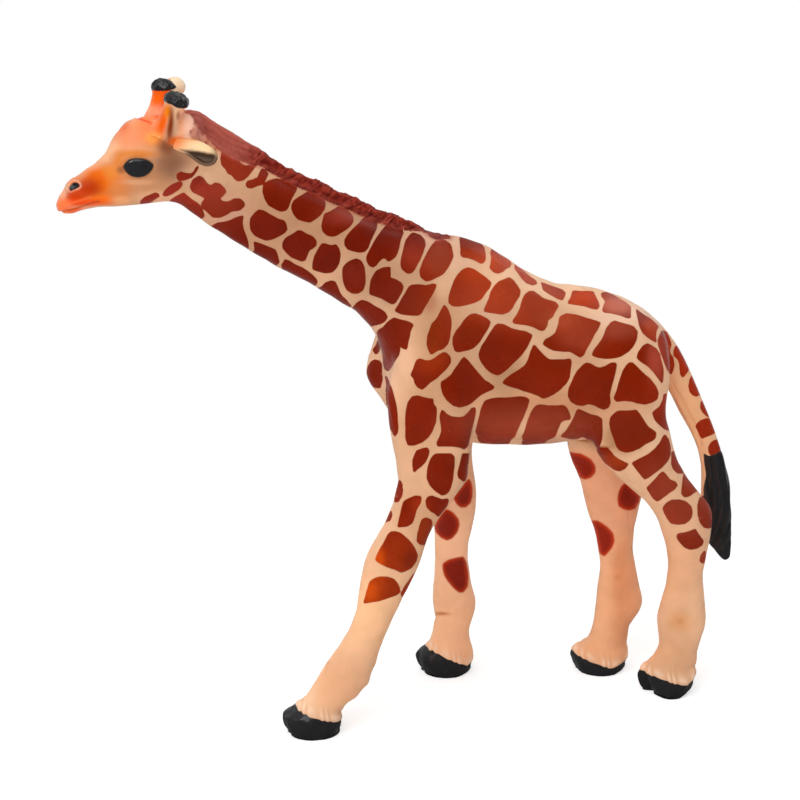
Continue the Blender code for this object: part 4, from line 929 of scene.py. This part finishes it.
# Among these tints, the pale line on the nostril's upper rim and the pale orange line along the upper lip are painted
# highlights.
for shade, share in [
        ("#FC9A72", 0.95 * inside), ("#F4640E", inside * step(156.0, 158.5, z)), ("#E23A1C", 0.8 * brow_seam),
        ("#F8C8A8", 0.4 * head * np.exp(-((nostril + 0.42) / 0.2) ** 2) * (face[:, 1] < 190)),
        ("#B43A10", 0.6 * line_of(face, lips, head, 0.8)),
        ("#F08850", 0.4 * line_of(face, [(64, 205), (74, 202.5), (84, 199), (91, 197)], head, 0.9))]:
    tint(ground, shade, share)
tint(rust, "#8E2210", 0.5 * head)
jaw_patches = [
    [177,174, 179,173, 181,172, 183,173, 187,174, 191,174, 194,172, 196,168, 198,167, 197,170, 194,174, 191,177,
     187,179, 183,180, 179,180, 177,178],
    [163,195, 165,191, 169,187, 173,184, 178,182, 181,182, 182,184, 180,188, 176,191, 171,194, 166,196],
    [141,201, 145,197, 150,195, 155,193, 158,194, 159,196, 156,198, 152,201, 147,203, 141,204]]
patch = np.maximum(patch, painted(outer, jaw_patches) - bare_side)
patch[ear_seam > 0.6] = np.maximum(patch[ear_seam > 0.6], 0.3)
black = np.maximum(black, nostril)
slots["head"] = "face_paint"
finishes["face_paint"] = painted_pvc("airbrushed face on PVC", 0.34)


# ------------------------------------------------------------------------------ horns
# Two skin-covered horns, each moulded alone and pegged into the skull. Their knobs are dabbed with black
# enamel by brush, lumpily. The brush missed the back of the right knob, which is bare.

for name, outline in [
        ("left_ossicone", [
            (155, 80), (158, 98), (163, 100.5), (168, 103.5), (172, 104.5), (176, 107.5), (182, 108.5),
            (188, 107.5), (196, 96), (190, 80)]),
        ("right_ossicone", [
            (145, 72), (146, 88), (151, 89.5), (158, 91), (166, 91), (173, 89.5), (176.5, 87), (172, 81.5),
            (166, 78.5), (158, 77.5), (152, 76)])]:
    black[made_of(name)] = painted(direct[made_of(name)], [outline], 4.0)
ground[made_of("right_ossicone") & (z > 157.0) & ((direct[:, 0] > 171) | (y > 8.4))] = linear("#F6D8B4")
lumps = np.sin(x * 2.3 + 1.0) * np.sin(y * 2.6) * np.sin(z * 2.1) + 0.6 * np.sin(x * 4.1) * np.sin(z * 3.7 + y * 2.2)
press(0.22 * step(-0.3, 0.5, black) + 0.14 * lumps * step(-0.2, 0.6, black), horns & (black > -0.4))
slots.update(left_ossicone="horn_paint", right_ossicone="horn_paint")
finishes["horn_paint"] = painted_pvc("horns with enamel knobs", 0.32)


# ------------------------------------------------------------------------------ mane
# The mane is a strip moulded alone and glued into a groove down the nape: a smooth plate behind the
# horns, then a ridge of short upright tufts down to the withers. It is painted by brush, which strays
# over the neck beside it.

mane_top = [
    (187, 112), (193, 111), (200, 114), (212, 122), (220, 126), (232, 135), (245, 142), (262, 151), (273, 157),
    (283, 166), (292, 171), (302, 174), (312, 180), (320, 184), (332, 187), (342, 192), (352, 197), (364, 203),
    (378, 208), (390, 214), (398, 219), (407, 220), (415, 225), (432, 228), (441, 234), (452, 237)]
mane_foot = [
    (452, 238), (443, 238.5), (437, 240), (430, 236), (420, 230), (410, 227.5), (400, 226), (390, 223),
    (380, 219.5), (370, 216), (360, 213.5), (350, 209.5), (340, 205), (330, 201.5), (320, 196.5), (310, 190.5),
    (300, 185.5), (290, 180.5), (280, 175), (270, 169), (262, 166), (255, 165), (247, 163), (238, 160.5),
    (229, 157), (220, 151), (213, 145), (206, 137), (199, 129), (193, 123), (188, 118), (186, 114)]
hair = made_of("mane", "neck", "head") | (trunk & (x < 15) & (z > 100))
beyond = [(px - 8, py - 16) for px, py in mane_top[1:]]     # the strip is open upward, over the outline
look = in_photo(folded)
mane, root = np.full(len(points), -far_out), np.full(len(points), -far_out)
mane[hair] = painted(look[hair], [[*beyond, *mane_foot]])
mane[made_of("mane")] = np.maximum(mane[made_of("mane")], 0.4)
root[hair] = painted(look[hair], [[
    (190, 131), (196, 129), (203, 131), (209, 136), (213, 142), (217, 148), (217, 152), (212, 150), (206, 144),
    (199, 140), (193, 138)]])
# How far along the mane's top each point of it lies, and how far off it, in the photograph's pixels.
grown = np.flatnonzero(mane > -0.6)
travel, off = np.zeros(len(points)), np.zeros(len(points))
best, so_far = np.full(len(grown), np.inf), 0.0
for a, b in zip(mane_top[:-1], mane_top[1:]):
    a, b = np.array(a, dtype=float), np.array(b, dtype=float)
    length = np.linalg.norm(b - a)
    share = np.clip((look[grown] - a) @ (b - a) / length ** 2, 0, 1)
    gap = np.linalg.norm(look[grown] - a - share[:, None] * (b - a), axis=1)
    closer = gap < best
    best[closer], travel[grown[closer]] = gap[closer], (so_far + share * length)[closer]
    so_far += length
off[grown] = best
plate_ends, ridge_starts, tuft_spacing = 62, 96, 6.3
plate = 1 - step(plate_ends, ridge_starts, travel)
slant = (travel + 0.45 * off + 2.6 * np.sin(travel * 0.083) + 1.7 * np.sin(travel * 0.21 + 1.0)
         + 1.0 * np.sin(travel * 0.53 + 0.5 * off) + 0.9 * np.sin(2.3 * z + 1.7 * y))
beads = np.abs(np.sin(slant / tuft_spacing * math.pi)) * (0.65 + 0.35 * np.sin(slant * 0.31 + 2.0 * np.sin(0.9 * y)))
clumps = np.sin(travel * 0.17 + 0.6 * np.sin(travel * 0.05)) + 0.5 * np.sin(travel * 0.43 + off * 0.3)
streaks = np.sin(off * 0.75 + 1.4 * np.sin(travel * 0.09) + 0.5) * np.sin(travel * 0.06 + off * 0.4)
tufts = np.sin(1.9 * x + 2.3 * np.sin(1.3 * y)) * np.sin(2.1 * y + 1.7 * z) + 0.7 * np.sin(3.3 * z + 1.1 * x)
ridge = 0.27 * beads * (0.7 + 0.25 * clumps) - 0.1 + 0.14 * clumps + 0.10 * tufts
press(step(-0.2, 0.5, mane) * ((1 - plate) * ridge + plate * (0.10 * streaks + 0.04 * tufts)))
press(-0.18 * np.exp(-((mane - 0.1) / 0.3) ** 2), hair * (1 - plate))
mane = np.maximum(mane, np.minimum(root, -0.12))
slots["mane"] = "mane_paint"
finishes["mane_paint"] = painted_pvc("brushed mane paint", 0.40)


# ------------------------------------------------------------------------------ tail
# The tail is moulded with its tuft and glued by its root into the rump. It carries patches behind and a
# parting ridge in front, and ends in a tuft of long strands, brushed black.

tail_patches = [
    [662,331, 666,332, 668,336, 670,341, 671,345, 669,350, 670,354, 673,359, 674,365, 673,370, 671,374, 668,370,
     665,363, 662,355, 659,347, 658,341, 660,335],
    [676,346, 679,349, 682,354, 685,359, 688,364, 689,368, 687,372, 683,377, 681,375, 680,370, 680,364, 678,359,
     674,355, 674,351],
    [692,376, 695,381, 698,387, 700,394, 696,396, 692,394, 690,391, 689,386, 690,380],
    [702,401, 705,406, 708,413, 709,417, 706,415, 703,412, 701,408, 701,403],
    [697,424, 701,421, 706,419, 709,419, 711,423, 713,428, 715,432, 712,434, 707,436, 702,438, 700,435, 698,430,
     696,427],
    [711,443, 714,441, 718,440, 720,446, 720,452, 715,453, 711,455, 709,452, 709,447]]
tail = made_of("tail")
patch = np.maximum(patch, painted(outer, tail_patches) - bare_side)
spray(rust, direct, [(704, 360, 40, 100, "#AC2E08", 0.9)], tail)
spray(ground, direct, [(690, 410, 30, 60, "#F4B482", 0.8), (703, 480, 4, 20, "#F6C8A0", 0.8)], tail)
tuft = np.full(len(points), -9.0)
tuft[tail] = painted(direct[tail], [[
    (703.5, 453), (709, 456), (716, 453.5), (724, 449), (745, 470), (745, 570), (700, 570), (706, 520),
    (703, 490), (706, 475), (704, 462)]], 3.0)
black = np.maximum(black, tuft)
across, down = direct.T
lean = across - np.interp(down, [445, 470, 490, 505, 520, 535, 558], [0, 4, 7, 8, 6, 1, -8])
strand = (np.sin(lean * 0.9 + 0.9 * np.sin(down * 0.07)) + 0.5 * np.sin(lean * 0.47 + 1.0)
          + 0.45 * np.sin(lean * 1.9 + down * 0.10))
depth = 0.30 * np.abs(normals[:, 1]) ** 1.5 * step(560, 535, down)     # shallow at the tip and the edges
press((depth * strand + 0.08) * step(-0.1, 0.8, tuft), tail)
dab(direct, [(734, 502, 8, 12, -0.45), (731, 526, 6, 8, -0.2), (712, 552, 8, 8, -0.35)], tail)
score(direct, tail, [(0.3, 1.3, [(668, 386), (680, 405), (692, 428), (699, 445), (702, 460)]),
                     (-0.25, 1.1, [(672, 384), (684, 404), (695, 427), (702, 445)])])
slots["tail"] = "tail_paint"
finishes["tail_paint"] = painted_pvc("tail and gloss tuft", 0.28)


# ------------------------------------------------------------------------------ pieces
# The carved and painted skin is cut along the glue faces into the parts that were moulded apart. Each
# carries the marks that its paint follows.

points = np.clip(points, np.array(cad_box[0]) * 1000 + 0.01, np.array(cad_box[1]) * 1000 - 0.01)
normals = facing()
black = np.maximum(black, eye)
curve = np.sum((averaged(points) - points) * normals, axis=1, keepdims=True)
apart = np.sum((points[edges[:, 0]] - points[edges[:, 1]]) ** 2, axis=1)
apart = np.bincount(edges.ravel(), np.repeat(apart, 2), len(points)) / neighbours
hollow = relaxed(curve / apart[:, None], 0.5, 3)[:, 0]


def mark_points(mesh, label, values):
    """Writes a colour or a number onto each of a mesh's points."""
    if values.ndim == 2:
        mesh.attributes.new(label, "FLOAT_COLOR", "POINT").data.foreach_set("color", values.ravel())
    else:
        mesh.attributes.new(label, "FLOAT", "POINT").data.foreach_set("value", values)


def make_piece(name, slot):
    """The skin over one of the frame's solids as a piece of its own."""
    chosen = triangles[owner_of_face == number_of[name]]
    used, local = np.unique(chosen, return_inverse=True)
    mesh = bpy.data.meshes.new(name)
    mesh.vertices.add(len(used))
    mesh.vertices.foreach_set("co", (points[used] / 1000).ravel())
    mesh.loops.add(len(chosen) * 3)
    mesh.loops.foreach_set("vertex_index", local.ravel().astype(np.int32))
    mesh.polygons.add(len(chosen))
    mesh.polygons.foreach_set("loop_start", np.arange(0, len(chosen) * 3, 3, dtype=np.int32))
    mesh.update(calc_edges=True)
    mesh.polygons.foreach_set("use_smooth", np.ones(len(chosen), dtype=bool))
    mesh.normals_split_custom_set_from_vertices(normals[used])
    for label, values in [("ground", ground), ("rust", rust), ("patch", patch), ("spot", spot), ("black", black),
                          ("hollow", hollow), ("eye", eye), ("mane", mane), ("plate", plate)]:
        mark_points(mesh, label, values[used])
    mesh.materials.append(finishes[slot])
    piece = bpy.data.objects.new(name + "_skin", mesh)
    scene.collection.objects.link(piece)
    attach(piece, "root")
    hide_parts(name)


for name in body_nodes:
    make_piece(name, slots[name])


# ------------------------------------------------------------------------------ ears
# Each ear is a thin cupped leaf of the same PVC, moulded alone and glued by its root into the skull. It
# is sprayed cream with an orange root, and the olive brown in its hollow and underneath is painted shade.
# The near ear is drawn from the photograph on its own plane, and the far one is its mirror.

ear_outline = rounded([
    (171, 146), (172, 139), (176, 136), (183, 137), (191, 139), (200, 141), (207, 144.5), (213, 148.5),
    (217, 153), (218, 158), (215.5, 163.5), (211, 166), (205, 166.5), (199, 164), (193, 159.5), (187, 155),
    (181, 151.5), (175, 150)])
ear_hollow = rounded([
    (177, 149.5), (186, 150.5), (195, 151.5), (204, 153), (212, 154.5), (216, 156), (216, 160), (213.5, 164),
    (209, 165.5), (204, 165.5), (199, 163), (193, 158.5), (187, 154.3), (181, 151.5)])
ear_root, ear_face = np.array([-59.4, -7.0, 150.0]), np.array([-0.116, -0.83, 0.55])
ear_face = ear_face / np.linalg.norm(ear_face)
lens_point = np.array(camera.location) * 1000


def on_ear(flat):
    """Where the camera's rays through places of the photograph meet the near ear's middle plane."""
    ray = ((flat[:, :1] - picture / 2) / pixels * np.array(right)
           - (flat[:, 1:] - picture / 2) / pixels * np.array(up) - np.array(back))
    reach = ((ear_root - lens_point) @ ear_face) / (ray @ ear_face)
    return lens_point + ray * reach[:, None]


# The leaf: rings of points from its heart to its rim, raised in front and dished where it is hollow.
rings, heart = 22, np.array([194.0, 150.5])
spokes = len(ear_outline)
flat_ear = np.concatenate([[heart], *(heart + (ear_outline - heart) * share
                                      for share in np.linspace(1 / rings, 1, rings))])
depth, cup = np.maximum(within(flat_ear, ear_outline), 0), within(flat_ear, ear_hollow)
edge_width, thick_front, thick_back, dish = 1.8, 1.0, 0.85, 0.9     # millimetres
swollen = np.clip(depth / edge_width, 0, 1)
swollen = np.sqrt(swollen * (2 - swollen))
front = thick_front * swollen - dish * step(-0.15, 1.2, cup) + 0.08 * np.exp(-((cup + 0.25) / 0.3) ** 2) * (depth > 0)
back_side = -thick_back * swollen - 0.35 * step(0, 1.0, cup)
middle = on_ear(flat_ear)
leaf = np.concatenate([middle + ear_face * front[:, None], middle + ear_face * back_side[:, None]])
count = len(flat_ear)
ear_faces = []
for side, turn in ((0, 1), (count, -1)):
    for k in range(spokes):
        after = (k + 1) % spokes
        ear_faces.append([side, side + 1 + k, side + 1 + after][::turn])
        for ring in range(rings - 1):
            a, b = side + 1 + ring * spokes, side + 1 + (ring + 1) * spokes
            ear_faces.append([a + k, b + k, b + after, a + after][::turn])
rim = 1 + (rings - 1) * spokes
for k in range(spokes):
    after = (k + 1) % spokes
    ear_faces.append([rim + after, rim + k, count + rim + k, count + rim + after])

ear_colour = np.tile(np.array(linear("#F2C796")), (2 * count, 1))
both_sides = np.concatenate([flat_ear, flat_ear])
# The dark browns along the hollow and the lower rim are painted shade.
for px, py, wide, high, shade, strength in [
        (176, 142, 10, 9, "#EE7420", 1.0), (190, 139, 12, 4, "#F6A858", 0.8), (203, 147, 12, 6, "#F8D6A0", 0.8),
        (217, 157, 5, 9, "#8A7454", 0.9), (204, 167, 16, 5, "#7C6448", 1.0), (190, 158, 8, 4, "#563216", 1.0)]:
    tint(ear_colour, shade, strength * np.exp(-oval(both_sides, px, py, wide, high)))
# Darker olive brown towards the bottom of both faces: painted shade underneath.
olive = step(1.0, 4.5, flat_ear[:, 1] - 149.5 - 0.143 * (flat_ear[:, 0] - 177))
tint(ear_colour, "#765640", np.concatenate([olive, olive * step(0.5, 0.1, depth)]))

# Sprayed acrylic, satin. The brown of the hollow is painted shade, and its edge wavers by about 2 mm.
ear_paint = bpy.data.materials.new("sprayed acrylic on a thin PVC leaf")
tree = empty_tree(ear_paint)
place = add(tree, "ShaderNodeTexCoord")
base = add(tree, "ShaderNodeAttribute", attribute_name="ground")
cupped = add(tree, "ShaderNodeAttribute", attribute_name="cup")
wave = add(tree, "ShaderNodeTexNoise", {"Vector": place.outputs["Object"], "Scale": 1000 / 2.0, "Detail": 3.0})
fuzz = add(tree, "ShaderNodeMath", {0: wave.outputs["Fac"], 1: 0.5, 2: cupped.outputs["Fac"]},
           operation="MULTIPLY_ADD")
brown = add(tree, "ShaderNodeMapRange", {"Value": fuzz.outputs[0], "From Min": 0.05, "From Max": 0.75},
            interpolation_type="SMOOTHSTEP")
colour = add(tree, "ShaderNodeMix", {0: brown.outputs[0], 6: base.outputs["Color"], 7: linear("#48301E")},
             data_type="RGBA")
surface = add(tree, "ShaderNodeBsdfPrincipled", {"Base Color": colour.outputs[2], "Roughness": 0.42, "IOR": 1.42})
add(tree, "ShaderNodeOutputMaterial", {"Surface": surface.outputs[0]})

for name, mirror in [("left_ear", 1), ("right_ear", -1)]:
    shape = leaf * [1, mirror, 1] / 1000
    mesh = bpy.data.meshes.new(name)
    mesh.from_pydata([tuple(p) for p in shape], [], [f[::mirror] for f in ear_faces])
    bm = bmesh.new()
    bm.from_mesh(mesh)
    bmesh.ops.remove_doubles(bm, verts=bm.verts, dist=2e-5)
    bmesh.ops.recalc_face_normals(bm, faces=bm.faces)
    bm.to_mesh(mesh)
    bm.free()
    mesh.polygons.foreach_set("use_smooth", np.ones(len(mesh.polygons), dtype=bool))
    source = [int(np.argmin(np.sum((shape - np.array(v.co)) ** 2, axis=1))) for v in mesh.vertices]
    mark_points(mesh, "ground", ear_colour[source])
    mark_points(mesh, "cup", np.concatenate([cup, np.full(count, -3.0)])[source])
    mesh.materials.append(ear_paint)
    piece = bpy.data.objects.new(name + "_leaf", mesh)
    scene.collection.objects.link(piece)
    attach(piece, "root")
    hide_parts(name)
